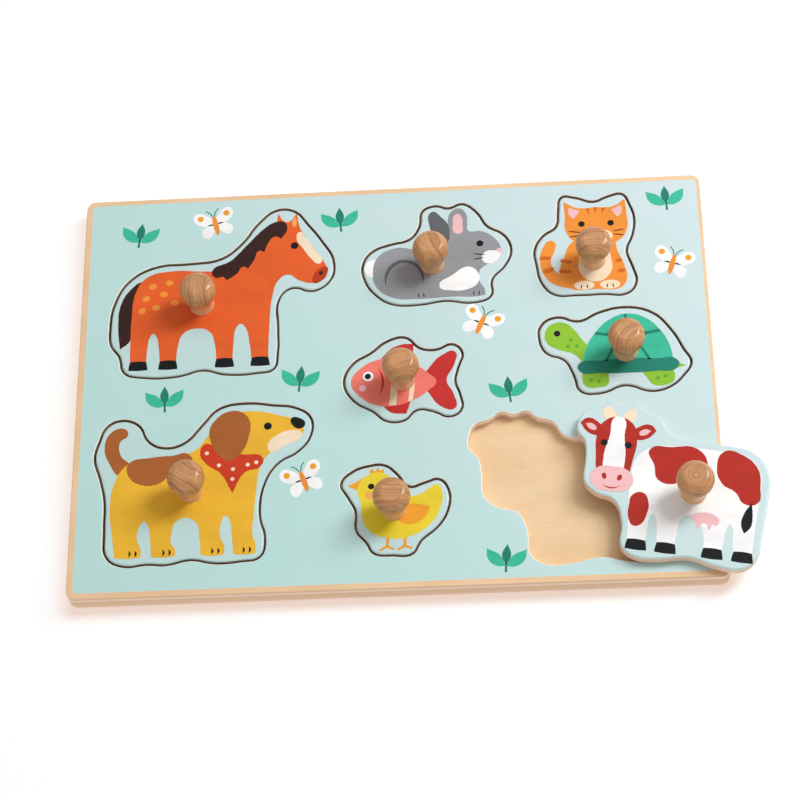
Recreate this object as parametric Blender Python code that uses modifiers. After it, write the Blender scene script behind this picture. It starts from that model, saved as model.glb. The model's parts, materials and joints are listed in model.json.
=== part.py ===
"""A wooden knob puzzle: a plywood board with eight animal pieces, each lifted by a turned knob.

The board is a backing board with a cut-out sheet on top of it. Seven pieces sit in their recesses,
and the cow lies loose on the board's right side, beside its own empty recess.
Frame: +X right, +Y back, +Z up, origin at the middle of the board's underside.
"""

import math

import bmesh
import bpy

MM = 0.001

# Board
BOARD_WIDTH = 300 * MM
BOARD_DEPTH = 210 * MM
CORNER_RADIUS = 4.4 * MM
BACKING_THICKNESS = 4.7 * MM
SHEET_THICKNESS = 5.0 * MM
CONTACT_GAP = 0.3 * MM
OUTER_ROUNDING = 0.6 * MM
RECESS_ROUNDING = 0.3 * MM

# Pieces
PLATE_THICKNESS = 5.0 * MM
PLATE_CLEARANCE = 0.95 * MM
PLATE_ROUNDING = 0.6 * MM

# Knob: heights are above its foot
KNOB_HEIGHT = 20.0 * MM
KNOB_FLAT_RADIUS = 5.0 * MM
KNOB_HEAD_RADIUS = 8.6 * MM
KNOB_HEAD_HEIGHT = 14.6 * MM
KNOB_BAND_HEIGHT = 12.6 * MM
KNOB_BAND_RADIUS = 8.3 * MM
KNOB_NECK_RADIUS = 5.3 * MM
KNOB_NECK_HEIGHT = 4.0 * MM
KNOB_FOOT_RADIUS = 5.9 * MM
KNOB_CROWN_STEPS = 5

# Wood screw that holds the knob from below: heights are above the plate's underside
SCREW_LENGTH = 16.0 * MM
SCREW_RADIUS = 1.3 * MM
SCREW_TIP = 2.5 * MM
SCREW_HEAD_RADIUS = 2.9 * MM
SCREW_HEAD_SINK = 0.3 * MM
SCREW_CLEARANCE = 0.3 * MM
CROSS_SLOT_LENGTH = 3.2 * MM
CROSS_SLOT_WIDTH = 0.8 * MM
CROSS_SLOT_DEPTH = 1.0 * MM
CUT_MARGIN = 1.0 * MM

# How finely curves are divided, and what counts as welded, level, flat or sharp
CORNER_STEPS = 6
OUTLINE_RESOLUTION = 3
TURNED_STEPS = 24
SCREW_STEPS = 12
WELD_DISTANCE = 0.01 * MM
LEVEL_TOLERANCE = 0.05 * MM
FLAT_ANGLE = math.radians(0.2)
SQUARE_ANGLE = math.radians(60)
SHARP_ANGLE = math.radians(38)

# Resting heights, from the floor up
SHEET_BOTTOM = BACKING_THICKNESS + CONTACT_GAP
SHEET_TOP = SHEET_BOTTOM + SHEET_THICKNESS
SEATED_HEIGHT = BACKING_THICKNESS + CONTACT_GAP
LOOSE_HEIGHT = SHEET_TOP + CONTACT_GAP

# Where the loose cow lies
LOOSE_COW_PLACE = (135.5, -66.2)
LOOSE_COW_TURN = math.radians(-10)

# Each piece, in millimetres: the place of its drawing's origin on the board, the knob's place from
# there, and the recess edge as the points of a smooth closed curve, also from there.
ANIMALS = {
    "horse": {
        "place": (-92.2, 42.1),
        "knob": (0.7, 2.4),
        "outline": (
            (-44, -8), (-42, 6), (-35, 18), (-22, 25), (-6, 26), (9, 28), (19, 36), (27, 47),
            (36, 54), (45, 53), (52, 45), (59, 35), (64.5, 24), (63, 13), (54, 7), (44, 9),
            (38.5, 4), (38, -10), (38, -26), (36, -34), (28, -36), (12, -36), (2, -33.5),
            (-9, -36), (-27, -36), (-36, -33), (-39, -24), (-43, -18),
        ),
    },
    "rabbit": {
        "place": (16.6, 58.5),
        "knob": (2.8, 3.1),
        "outline": (
            (-31, 5), (-30.5, -4), (-25, -13), (-17, -18.5), (-4, -19.5), (9, -18), (22, -19.5),
            (31, -16), (32, -7), (38, 0), (41.5, 9), (38, 18), (30, 23.5), (25.5, 31), (18, 36.5),
            (11, 34.5), (5, 36), (-2, 33), (-3.5, 25), (-8, 18), (-17, 15.5), (-26, 12),
        ),
    },
    "cat": {
        "place": (94.9, 57.5),
        "knob": (1.7, 2.5),
        "outline": (
            (-22, 17.5), (-26.5, 10), (-26, 0), (-24, -9), (-18, -16), (-7, -17), (6, -17),
            (17, -17), (22, -11), (20.5, -1), (18.5, 7), (21.5, 15), (23, 24), (21, 33),
            (17.5, 39), (10, 38), (3, 35.5), (-5, 38), (-12.5, 38.5), (-14.5, 31), (-16, 22),
        ),
    },
    "turtle": {
        "place": (107, 9.1),
        "knob": (2.3, 1.1),
        "outline": (
            (-38.5, 9), (-37, 17), (-29, 21), (-19, 18.5), (-10, 22.5), (3, 25), (16, 21.5),
            (24.5, 12), (30, 1), (33, -6), (29, -13), (22, -19), (13, -21), (1, -17.5),
            (-10, -21), (-20, -19.5), (-23, -11), (-27, -3), (-35, 1),
        ),
    },
    "fish": {
        "place": (3.2, -1.8),
        "knob": (1.1, 1.5),
        "outline": (
            (-27, 1), (-23, 11), (-14, 17), (-6, 23), (3, 24.5), (10, 18.5), (17, 17.5),
            (25, 20), (30, 15), (28, 7), (26.5, 0), (28.5, -7), (29, -15), (23, -19),
            (15, -16), (8, -15), (2, -20), (-7, -20), (-13, -15), (-22, -9),
        ),
    },
    "dog": {
        "place": (-95.4, -56.6),
        "knob": (1.1, 3.3),
        "outline": (
            (-43, 31), (-45, 22), (-42, 11), (-39.5, 0), (-39, -16), (-37, -29), (-29, -33.5),
            (-18, -33), (-9, -33.5), (2, -31.5), (13, -33.5), (25, -33), (34, -31), (36.5, -22),
            (34, -10), (36, 6), (42, 15.5), (51, 21), (57, 29), (57, 39), (50, 44.5),
            (39, 46.5), (26, 48), (13, 45.5), (5, 37), (-3, 28.5), (-12, 26.5), (-19, 30),
            (-24, 38.5), (-33, 41.5), (-40, 38),
        ),
    },
    "chick": {
        "place": (-1.2, -69.5),
        "knob": (0.6, 3.3),
        "outline": (
            (-24, 17), (-21, 10), (-17.5, 3), (-17, -7), (-12.5, -13), (-9, -18.5), (0, -20),
            (9, -19.5), (13.5, -13), (21, -6.5), (26, 2), (26.5, 12), (22, 18), (14.5, 16.5),
            (8, 15), (3, 21), (-3, 26), (-11, 26), (-19, 23),
        ),
    },
    "cow": {
        "place": (91.6, -61),
        "knob": (0, 0),
        "outline": (
            (-57, 30), (-54, 36), (-47, 38.5), (-42, 42), (-36, 40.5), (-30, 42), (-25, 38.5),
            (-18, 36), (-13, 29), (-2, 26.5), (13, 26.5), (26, 24), (33.5, 15), (34.5, 1),
            (33.5, -15), (31.5, -29), (25, -35), (13, -35), (1, -32.5), (-12, -35), (-24, -35),
            (-30.5, -30), (-31.5, -19), (-36, -9), (-44, -6.5), (-50.5, -1), (-51.5, 10),
            (-53, 19), (-57, 24),
        ),
    },
}

# Colours, as linear values
BIRCH = (0.74, 0.56, 0.34)
PRINTED_AQUA = (0.48, 0.70, 0.66)
PALE_AQUA = (0.62, 0.79, 0.77)
BEECH = (0.58, 0.33, 0.16)
ZINC = (0.55, 0.54, 0.50)


def clear_scene():
    for obj in list(bpy.data.objects):
        bpy.data.objects.remove(obj, do_unlink=True)


def new_collection(name):
    collection = bpy.data.collections.new(name)
    bpy.context.scene.collection.children.link(collection)
    return collection


def make_material(name, colour, roughness, metallic=0.0):
    material = bpy.data.materials.new(name)
    material.use_nodes = True
    shader = material.node_tree.nodes["Principled BSDF"]
    shader.inputs["Base Color"].default_value = (*colour, 1.0)
    shader.inputs["Roughness"].default_value = roughness
    shader.inputs["Metallic"].default_value = metallic
    return material


def rounded_rectangle(width, depth, radius, steps):
    """Points of a rectangle with round corners, centred on the origin."""
    points = []
    for quarter, (side_x, side_y) in enumerate(((1, 1), (-1, 1), (-1, -1), (1, -1))):
        centre_x = side_x * (width / 2 - radius)
        centre_y = side_y * (depth / 2 - radius)
        for step in range(steps + 1):
            angle = math.pi / 2 * (quarter + step / steps)
            points.append((centre_x + radius * math.cos(angle), centre_y + radius * math.sin(angle)))
    return points


def new_flat_curve(name, thickness, shift=0.0):
    """An empty flat outline, as thick as stated; shift moves its edge outwards."""
    curve = bpy.data.curves.new(name, "CURVE")
    curve.dimensions = "2D"
    curve.fill_mode = "BOTH"
    curve.extrude = thickness / 2
    curve.offset = shift
    curve.resolution_u = OUTLINE_RESOLUTION
    curve.render_resolution_u = OUTLINE_RESOLUTION
    return curve


def add_straight_loop(curve, points):
    spline = curve.splines.new("POLY")
    spline.points.add(len(points) - 1)
    for point, (x, y) in zip(spline.points, points):
        point.co = (x, y, 0, 1)
    spline.use_cyclic_u = True


def add_smooth_loop(curve, points, place=(0, 0)):
    """A closed curve through points given in millimetres from a place in millimetres."""
    spline = curve.splines.new("BEZIER")
    spline.bezier_points.add(len(points) - 1)
    for point, (x, y) in zip(spline.bezier_points, points):
        point.co = ((x + place[0]) * MM, (y + place[1]) * MM, 0)
        point.handle_left_type = "AUTO"
        point.handle_right_type = "AUTO"
    spline.use_cyclic_u = True


def curve_to_mesh(curve, collection):
    """A welded mesh object made from a flat outline, standing on z = 0."""
    outline = bpy.data.objects.new(curve.name, curve)
    collection.objects.link(outline)
    outline.location.z = curve.extrude
    bpy.context.view_layer.update()
    evaluated = outline.evaluated_get(bpy.context.evaluated_depsgraph_get())
    mesh = bpy.data.meshes.new_from_object(evaluated)
    place = outline.matrix_world.copy()
    name = curve.name
    bpy.data.objects.remove(outline)
    body = bmesh.new()
    body.from_mesh(mesh)
    bmesh.ops.transform(body, matrix=place, verts=body.verts)
    bmesh.ops.remove_doubles(body, verts=body.verts, dist=WELD_DISTANCE)
    bmesh.ops.dissolve_limit(body, angle_limit=FLAT_ANGLE, verts=body.verts, edges=body.edges)
    bmesh.ops.recalc_face_normals(body, faces=body.faces)
    body.to_mesh(mesh)
    body.free()
    result = bpy.data.objects.new(name, mesh)
    collection.objects.link(result)
    return result


def round_edges(obj, width, weight_of_edge, segments=1):
    """A Bevel on the sharp edges for which weight_of_edge gives a weight above nought."""
    mesh = obj.data
    body = bmesh.new()
    body.from_mesh(mesh)
    weights = body.edges.layers.float.new("bevel_weight_edge")
    for edge in body.edges:
        sharp = len(edge.link_faces) == 2 and edge.calc_face_angle() > SQUARE_ANGLE
        edge[weights] = weight_of_edge(edge) if sharp else 0.0
    body.to_mesh(mesh)
    body.free()
    bevel = obj.modifiers.new("rounding", "BEVEL")
    bevel.limit_method = "WEIGHT"
    bevel.width = width
    bevel.segments = segments
    bevel.use_clamp_overlap = True


def is_level(edge, height):
    return all(abs(vert.co.z - height) < LEVEL_TOLERANCE for vert in edge.verts)


def is_outer(edge):
    inset = CORNER_RADIUS / 2
    return any(
        abs(vert.co.x) > BOARD_WIDTH / 2 - inset or abs(vert.co.y) > BOARD_DEPTH / 2 - inset
        for vert in edge.verts
    )


def turned_mesh(name, profile, steps, collection):
    """A solid of revolution about Z from a profile of (radius, height), listed top to bottom."""
    mesh = bpy.data.meshes.new(name)
    rows = [(radius, 0, height) for radius, height in profile]
    mesh.from_pydata(rows, [(i, i + 1) for i in range(len(rows) - 1)], [])
    turned = bpy.data.objects.new(name, mesh)
    collection.objects.link(turned)
    screw = turned.modifiers.new("turning", "SCREW")
    screw.steps = steps
    screw.render_steps = steps
    screw.use_merge_vertices = True
    screw.merge_threshold = WELD_DISTANCE
    bpy.context.view_layer.update()
    evaluated = turned.evaluated_get(bpy.context.evaluated_depsgraph_get())
    result = bpy.data.meshes.new_from_object(evaluated)
    result.name = name
    bpy.data.objects.remove(turned)
    bpy.data.meshes.remove(mesh)
    return result


def knob_profile():
    """Top to bottom: flat top, round crown, tapered neck, foot, then up the pilot bore."""
    crown_width = KNOB_HEAD_RADIUS - KNOB_FLAT_RADIUS
    crown_height = KNOB_HEIGHT - KNOB_HEAD_HEIGHT
    profile = [(0, KNOB_HEIGHT)]
    for step in range(KNOB_CROWN_STEPS + 1):
        angle = math.pi / 2 * (1 - step / KNOB_CROWN_STEPS)
        profile.append((
            KNOB_FLAT_RADIUS + crown_width * math.cos(angle),
            KNOB_HEAD_HEIGHT + crown_height * math.sin(angle),
        ))
    bore_radius = SCREW_RADIUS + SCREW_CLEARANCE
    bore_depth = SCREW_LENGTH - PLATE_THICKNESS + SCREW_CLEARANCE
    profile.append((KNOB_BAND_RADIUS, KNOB_BAND_HEIGHT))
    profile.append((
        (KNOB_HEAD_RADIUS + KNOB_NECK_RADIUS) / 2,
        (KNOB_BAND_HEIGHT + KNOB_NECK_HEIGHT) / 2,
    ))
    profile.append((KNOB_NECK_RADIUS, KNOB_NECK_HEIGHT))
    profile.append((KNOB_FOOT_RADIUS, 0))
    profile.append((bore_radius, 0))
    profile.append((bore_radius, bore_depth - bore_radius))
    profile.append((0, bore_depth))
    return profile


def screw_profile():
    """Top to bottom: point, shank, countersunk head, all above the plate's underside."""
    head_height = SCREW_HEAD_RADIUS - SCREW_RADIUS
    return [
        (0, SCREW_LENGTH),
        (SCREW_RADIUS, SCREW_LENGTH - SCREW_TIP),
        (SCREW_RADIUS, SCREW_HEAD_SINK + head_height),
        (SCREW_HEAD_RADIUS, SCREW_HEAD_SINK),
        (0, SCREW_HEAD_SINK),
    ]


def countersink_profile():
    """The hole for the screw: the screw's own shape, wider by the clearance all round."""
    hole_radius = SCREW_RADIUS + SCREW_CLEARANCE
    mouth_radius = SCREW_HEAD_RADIUS + SCREW_CLEARANCE
    sink = SCREW_HEAD_SINK + 0.5 * SCREW_CLEARANCE
    return [
        (0, PLATE_THICKNESS + CUT_MARGIN),
        (hole_radius, PLATE_THICKNESS + CUT_MARGIN),
        (hole_radius, sink + mouth_radius - hole_radius),
        (mouth_radius, sink),
        (mouth_radius, -CUT_MARGIN),
        (0, -CUT_MARGIN),
    ]


def box_mesh(name, size):
    body = bmesh.new()
    bmesh.ops.create_cube(body, size=1)
    bmesh.ops.scale(body, vec=size, verts=body.verts)
    mesh = bpy.data.meshes.new(name)
    body.to_mesh(mesh)
    body.free()
    return mesh


def add_cutter(name, mesh, collection):
    cutter = bpy.data.objects.new(name, mesh)
    collection.objects.link(cutter)
    cutter.hide_render = True
    cutter.display_type = "WIRE"
    return cutter


def cut(obj, cutter):
    modifier = obj.modifiers.new("cut_" + cutter.name, "BOOLEAN")
    modifier.operation = "DIFFERENCE"
    modifier.solver = "EXACT"
    modifier.object = cutter


def shade_round(mesh):
    mesh.shade_smooth()
    mesh.set_sharp_from_angle(angle=SHARP_ANGLE)


def screw_mesh(parts, cutters):
    """The screw with a cross slot in its head, as one mesh that all the screws share."""
    turned = turned_mesh("screw_blank", screw_profile(), SCREW_STEPS, parts)
    blank = bpy.data.objects.new("screw_blank", turned)
    parts.objects.link(blank)
    slot_height = 2 * CROSS_SLOT_DEPTH
    for number in range(2):
        size = (CROSS_SLOT_LENGTH, CROSS_SLOT_WIDTH, slot_height)
        slot = add_cutter(f"cross_slot_{number + 1}", box_mesh("cross_slot", size), cutters)
        slot.rotation_euler.z = math.pi / 2 * number + math.pi / SCREW_STEPS
        slot.location.z = SCREW_HEAD_SINK
        cut(blank, slot)
    bpy.context.view_layer.update()
    evaluated = blank.evaluated_get(bpy.context.evaluated_depsgraph_get())
    mesh = bpy.data.meshes.new_from_object(evaluated)
    mesh.name = "screw"
    bpy.data.objects.remove(blank)
    return mesh


def make_backing_board(parts):
    curve = new_flat_curve("backing_board", BACKING_THICKNESS)
    add_straight_loop(curve, rounded_rectangle(BOARD_WIDTH, BOARD_DEPTH, CORNER_RADIUS, CORNER_STEPS))
    board = curve_to_mesh(curve, parts)
    round_edges(board, OUTER_ROUNDING, lambda edge: 1.0 if is_level(edge, 0) else 0.0, segments=2)
    board.data.materials.append(make_material("backing_plywood", BIRCH, 0.55))
    shade_round(board.data)
    return board


def make_frame_sheet(parts):
    """The printed sheet, with one through cut-out for each piece."""
    curve = new_flat_curve("frame_sheet", SHEET_THICKNESS)
    add_straight_loop(curve, rounded_rectangle(BOARD_WIDTH, BOARD_DEPTH, CORNER_RADIUS, CORNER_STEPS))
    for animal in ANIMALS.values():
        add_smooth_loop(curve, animal["outline"], animal["place"])
    sheet = curve_to_mesh(curve, parts)

    def weight(edge):
        if not is_level(edge, SHEET_THICKNESS):
            return 0.0
        return 1.0 if is_outer(edge) else RECESS_ROUNDING / OUTER_ROUNDING

    round_edges(sheet, OUTER_ROUNDING, weight)
    sheet.location.z = SHEET_BOTTOM
    sheet.data.materials.append(make_material("printed_sheet", PRINTED_AQUA, 0.4))
    shade_round(sheet.data)
    return sheet


def make_plate(name, animal, carrier, parts, countersink):
    curve = new_flat_curve(name + "_plate", PLATE_THICKNESS, -PLATE_CLEARANCE)
    add_smooth_loop(curve, animal["outline"])
    plate = curve_to_mesh(curve, parts)
    round_edges(plate, PLATE_ROUNDING, lambda edge: 1.0 if is_level(edge, PLATE_THICKNESS) else 0.0)
    cut(plate, countersink)
    plate.data.materials.append(make_material(name + "_plate", PALE_AQUA, 0.4))
    shade_round(plate.data)
    plate.parent = carrier
    return plate


def make_piece(name, animal, parts, cutters, meshes):
    """One animal: its plate, its knob and the screw between them, all on one carrier empty."""
    loose = name == "cow"
    place = LOOSE_COW_PLACE if loose else animal["place"]
    carrier = bpy.data.objects.new(name + "_lift", None)
    parts.objects.link(carrier)
    carrier.location = (place[0] * MM, place[1] * MM, LOOSE_HEIGHT if loose else SEATED_HEIGHT)
    carrier.rotation_euler.z = LOOSE_COW_TURN if loose else 0.0
    knob_x, knob_y = (value * MM for value in animal["knob"])

    countersink = add_cutter(name + "_countersink", meshes["countersink"], cutters)
    countersink.parent = carrier
    countersink.location = (knob_x, knob_y, 0)
    make_plate(name, animal, carrier, parts, countersink)

    knob = bpy.data.objects.new(name + "_knob", meshes["knob"].copy())
    knob.data.materials.append(make_material(name + "_knob", BEECH, 0.3))
    knob.location = (knob_x, knob_y, PLATE_THICKNESS + CONTACT_GAP)
    screw = bpy.data.objects.new(name + "_screw", meshes["screw"].copy())
    screw.data.materials.append(make_material(name + "_screw", ZINC, 0.35, 1.0))
    screw.location = (knob_x, knob_y, 0)
    for turned in (knob, screw):
        parts.objects.link(turned)
        turned.parent = carrier


def main():
    clear_scene()
    parts = new_collection("animal_knob_puzzle")
    cutters = new_collection("cutters")
    make_backing_board(parts)
    make_frame_sheet(parts)
    meshes = {
        "knob": turned_mesh("knob", knob_profile(), TURNED_STEPS, parts),
        "screw": screw_mesh(parts, cutters),
        "countersink": turned_mesh("countersink", countersink_profile(), SCREW_STEPS, parts),
    }
    shade_round(meshes["knob"])
    shade_round(meshes["screw"])
    for name, animal in ANIMALS.items():
        make_piece(name, animal, parts, cutters, meshes)


main()
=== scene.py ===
# %% [markdown]
# # A wooden knob puzzle, dressed over its frame
#
# The object is a plywood board with eight animal pieces. Each piece has a turned beech knob, and the
# cow lies loose beside its empty recess. The frame holds every piece at its real size and place.
# This script gives those pieces their finish: finer edges, printed ink, wood grain and lacquer.
# Everything is in metres in the frame's own coordinates: X right, Y back, Z up.

# %% Load the frame
import json
import math

import bmesh
import bpy
import numpy as np
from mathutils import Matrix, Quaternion, Vector, noise

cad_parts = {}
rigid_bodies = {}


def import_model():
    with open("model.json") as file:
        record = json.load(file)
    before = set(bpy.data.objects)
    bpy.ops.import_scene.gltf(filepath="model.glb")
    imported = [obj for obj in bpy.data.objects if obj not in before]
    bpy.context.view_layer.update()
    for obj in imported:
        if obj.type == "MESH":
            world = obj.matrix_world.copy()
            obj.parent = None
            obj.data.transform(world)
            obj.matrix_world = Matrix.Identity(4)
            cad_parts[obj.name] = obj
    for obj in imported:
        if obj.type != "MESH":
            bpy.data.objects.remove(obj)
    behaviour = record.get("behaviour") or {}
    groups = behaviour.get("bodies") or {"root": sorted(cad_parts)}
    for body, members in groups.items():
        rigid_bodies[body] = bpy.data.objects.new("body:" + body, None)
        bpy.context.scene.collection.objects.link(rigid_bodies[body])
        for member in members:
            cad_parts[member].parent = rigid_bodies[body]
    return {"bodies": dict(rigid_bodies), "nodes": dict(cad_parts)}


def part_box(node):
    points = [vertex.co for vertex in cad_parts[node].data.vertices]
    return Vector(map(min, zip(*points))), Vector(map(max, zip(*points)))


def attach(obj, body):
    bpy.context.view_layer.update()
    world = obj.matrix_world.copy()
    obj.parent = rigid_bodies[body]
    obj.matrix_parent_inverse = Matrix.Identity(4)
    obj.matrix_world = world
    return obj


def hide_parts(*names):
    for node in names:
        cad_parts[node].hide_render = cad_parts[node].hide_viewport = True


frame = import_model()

MM = 0.001
ANIMALS = [body for body in frame["bodies"] if body != "board"]
add_to_scene = bpy.context.scene.collection.objects.link
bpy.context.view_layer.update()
print("animals:", ", ".join(ANIMALS))

# %% [markdown]
# ## The camera
#
# A product photograph of a flat toy is taken from above with a long lens, so that the board's sides
# stay nearly parallel. A camera can be placed by hand, or from the spot that it looks at, its
# distance and three angles. The second way is used here, because each value can be read and changed
# alone. The board lies turned in the picture, and the camera's roll gives that turn.

# %% Place the camera
PHOTO_SIDE = 800
FOCAL_LENGTH_PIXELS = 2287
SENSOR_WIDTH = 36.0
LOOK_AT = Vector((3.0, -10.8, 10.0)) * MM
CAMERA_DISTANCE = 1068 * MM
CAMERA_AZIMUTH = -7.07
CAMERA_ELEVATION = 63.31
CAMERA_ROLL = 8.68


def direction(azimuth, elevation):
    """The unit vector at an azimuth, from +Y towards +X, and an elevation, both in degrees."""
    azimuth, elevation = math.radians(azimuth), math.radians(elevation)
    level = math.cos(elevation)
    return Vector((math.sin(azimuth) * level, math.cos(azimuth) * level, math.sin(elevation)))


looking = direction(CAMERA_AZIMUTH, -CAMERA_ELEVATION)
camera = bpy.data.objects.new("camera", bpy.data.cameras.new("camera"))
add_to_scene(camera)
camera.data.sensor_width = SENSOR_WIDTH
camera.data.lens = FOCAL_LENGTH_PIXELS / PHOTO_SIDE * SENSOR_WIDTH
camera.location = LOOK_AT - looking * CAMERA_DISTANCE
camera.rotation_mode = "QUATERNION"
upright = looking.to_track_quat("-Z", "Y")
camera.rotation_quaternion = upright @ Quaternion((0, 0, 1), -math.radians(CAMERA_ROLL))
bpy.context.scene.camera = camera
print(f"lens {camera.data.lens:.1f} mm, camera {camera.location.z:.3f} m above the table")

# %% [markdown]
# ## Arithmetic for shaders
#
# A material changes over a surface through nodes, and a formula of ten terms is ten nodes with their
# links. Nodes could be added one by one, but then the formula can't be read. Here a wire wraps a
# socket and overloads the operators, so `1 - mask` adds a Math node by itself. Every other node
# comes from one method, which takes the node's type, its settings and what goes into its sockets.

# %% The wire
class Wire:
    """A node's output that takes part in arithmetic: each operator adds a Math node."""

    def __init__(self, finish, socket):
        self.finish = finish
        self.socket = socket

    def math(self, operation, first, second=0.0):
        return self.finish.node("Math", {"operation": operation}, {0: first, 1: second})

    def __add__(self, other):
        return self.math("ADD", self, other)

    def __sub__(self, other):
        return self.math("SUBTRACT", self, other)

    def __rsub__(self, other):
        return self.math("SUBTRACT", other, self)

    def __mul__(self, other):
        return self.math("MULTIPLY", self, other)

    def __truediv__(self, other):
        return self.math("DIVIDE", self, other)

    def __abs__(self):
        return self.math("ABSOLUTE", self)

    __radd__ = __add__
    __rmul__ = __mul__

    def rise(self, low, high):
        """Nought below low, one above high, and a smooth slope between them."""
        sockets = {"Value": self, "From Min": low, "From Max": high}
        return self.finish.node("MapRange", {"interpolation_type": "SMOOTHSTEP"}, sockets)


# %% The finish
class Finish:
    """A material under construction, with its Principled shader at hand as skin."""

    def __init__(self, name, owner=None):
        self.owner = owner or bpy.data.materials.new(name)
        self.owner.use_nodes = True
        self.tree = self.owner.node_tree
        self.skin = self.tree.nodes.get("Principled BSDF")

    def plug(self, value, socket):
        if isinstance(value, Wire):
            self.tree.links.new(value.socket, socket)
        elif isinstance(value, tuple) and socket.type == "RGBA":
            socket.default_value = (*value, 1.0)
        else:
            socket.default_value = value

    def node(self, kind, settings=None, sockets=None, output=0):
        """Adds a node: its settings first, then what goes into its sockets."""
        made = self.tree.nodes.new("ShaderNode" + kind)
        for name, value in (settings or {}).items():
            setattr(made, name, value)
        for name, value in (sockets or {}).items():
            self.plug(value, made.inputs[name])
        return Wire(self, made.outputs[output])

    def mix(self, factor, first, second):
        """A colour between two others; Mix keeps the colour that a Math node would lose."""
        settings = {"data_type": "RGBA"}
        return self.node("Mix", settings, {"Factor": factor, 6: first, 7: second}, output=2)

    def vector(self, operation, first, second=(0.0, 0.0, 0.0), output=0):
        settings = {"operation": operation}
        return self.node("VectorMath", settings, {0: first, 1: second}, output)

    def axis(self, point, name):
        return self.node("SeparateXYZ", None, {0: point}, name)

    def length(self, vector):
        return self.vector("LENGTH", vector, output="Value")

    def noise(self, point, waves, detail, roughness):
        """Noise with its own number of waves per unit of length along each axis."""
        point = self.vector("MULTIPLY", point, waves)
        sockets = {"Vector": point, "Scale": 1.0, "Detail": detail, "Roughness": roughness}
        return self.node("TexNoise", None, sockets)

    def place(self):
        """The piece's own coordinates, which move with it."""
        return self.node("TexCoord", None, None, "Object")

    def facing_up(self):
        """How far the surface faces up, from -1 to 1."""
        return self.axis(self.node("TexCoord", None, None, "Normal"), "Z")

    def bump(self, height, distance, strength=1.0):
        sockets = {"Height": height, "Distance": distance, "Strength": strength}
        return self.node("Bump", None, sockets)

    def wear(self, **sockets):
        """Sets the shader's sockets; an underscore in a name stands for a space."""
        for name, value in sockets.items():
            self.plug(value, self.skin.inputs[name.replace("_", " ")])
        return self.owner


# %% [markdown]
# ## Table, background and light
#
# The photograph shows the toy on plain white, with soft shadows that fall to the left. One tall lamp
# stands behind the board on its right. A broad one behind it lays a pale sheen over the print's far
# side, a low one in front brightens the cut edges, and a weak one on the left gives the small second
# glint on each knob. The world fills the shade, a little warm. The white background comes from the
# world and the table as the camera sees them, not from more light, so the colours on the toy stay as
# written. The table's own colour is cool and its glow warm, so where the toy shades it a pinkish tone
# is left. The shade left of the board is fainter than in front of it, so there the glow does more.
# Far from the lamps the glow is stronger too, and the table is white in other views as well. A share
# of the table's glow also shines onto the toy as light from below: a glowing table that is no lamp.

# %% Hang the lamps
LAMP_COLOUR = (0.956, 0.979, 1.0)
LAMPS = {
    "key_lamp": {"size": (0.46, 0.90), "place": (62, 45, 1.50), "power": 17.8},
    "sheen_lamp": {"size": (0.90, 0.70), "place": (14, 64, 1.20), "power": 2.1},
    "front_lamp": {"size": (1.10, 0.30), "place": (-165, 12, 1.10), "power": 2.1},
    "glint_lamp": {"size": (0.16, 0.50), "place": (-100, 32, 0.90), "power": 0.35},
}


def add_lamp(name, size, place, power):
    """A softbox that looks at the board from a place: an azimuth, an elevation and a distance."""
    azimuth, elevation, distance = place
    lamp = bpy.data.objects.new(name, bpy.data.lights.new(name, "AREA"))
    add_to_scene(lamp)
    lamp.data.shape = "RECTANGLE"
    lamp.data.size, lamp.data.size_y = size
    lamp.data.energy = power
    lamp.data.color = LAMP_COLOUR
    towards = direction(azimuth, elevation)
    lamp.location = towards * distance
    lamp.rotation_euler = (-towards).to_track_quat("-Z", "Y").to_euler()


for name, lamp in LAMPS.items():
    add_lamp(name, **lamp)
print("lamps:", ", ".join(LAMPS))

# %% Lay the table before a white background
AMBIENT = 0.35
SHADE_TINT = (1.0, 0.93, 0.86)
TABLE_SIZE = 6.0
TABLE_COLOUR = (0.50, 0.76, 0.82)
TABLE_GLOW = (0.57, 0.33, 0.27)
LEFT_COLOUR = (0.12, 0.30, 0.38)
LEFT_GLOW = (0.896, 0.735, 0.665)
LEFT_OF_BOARD = (-0.158, -0.146)
FAR_GLOW = (0.84, 0.82, 0.80)
FAR_FROM_LAMPS = (0.45, 1.30)
GLOW_AS_LIGHT = 0.6


def seen_directly(finish):
    """One for rays from the camera, from a mirror or through glass, nought for the light itself."""
    kinds = ("Is Camera Ray", "Is Glossy Ray", "Is Transmission Ray")
    rays = [finish.node("LightPath", None, None, kind) for kind in kinds]
    return finish.node("Math", {"use_clamp": True}, {0: rays[0] + rays[1], 1: rays[2]})


world = bpy.data.worlds.new("studio")
bpy.context.scene.world = world
studio = Finish("studio", world)
backdrop = studio.tree.nodes["Background"]
seen = seen_directly(studio)
studio.plug(AMBIENT + (1 - AMBIENT) * seen, backdrop.inputs["Strength"])
studio.plug(studio.mix(seen, SHADE_TINT, (1.0, 1.0, 1.0)), backdrop.inputs["Color"])

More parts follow.
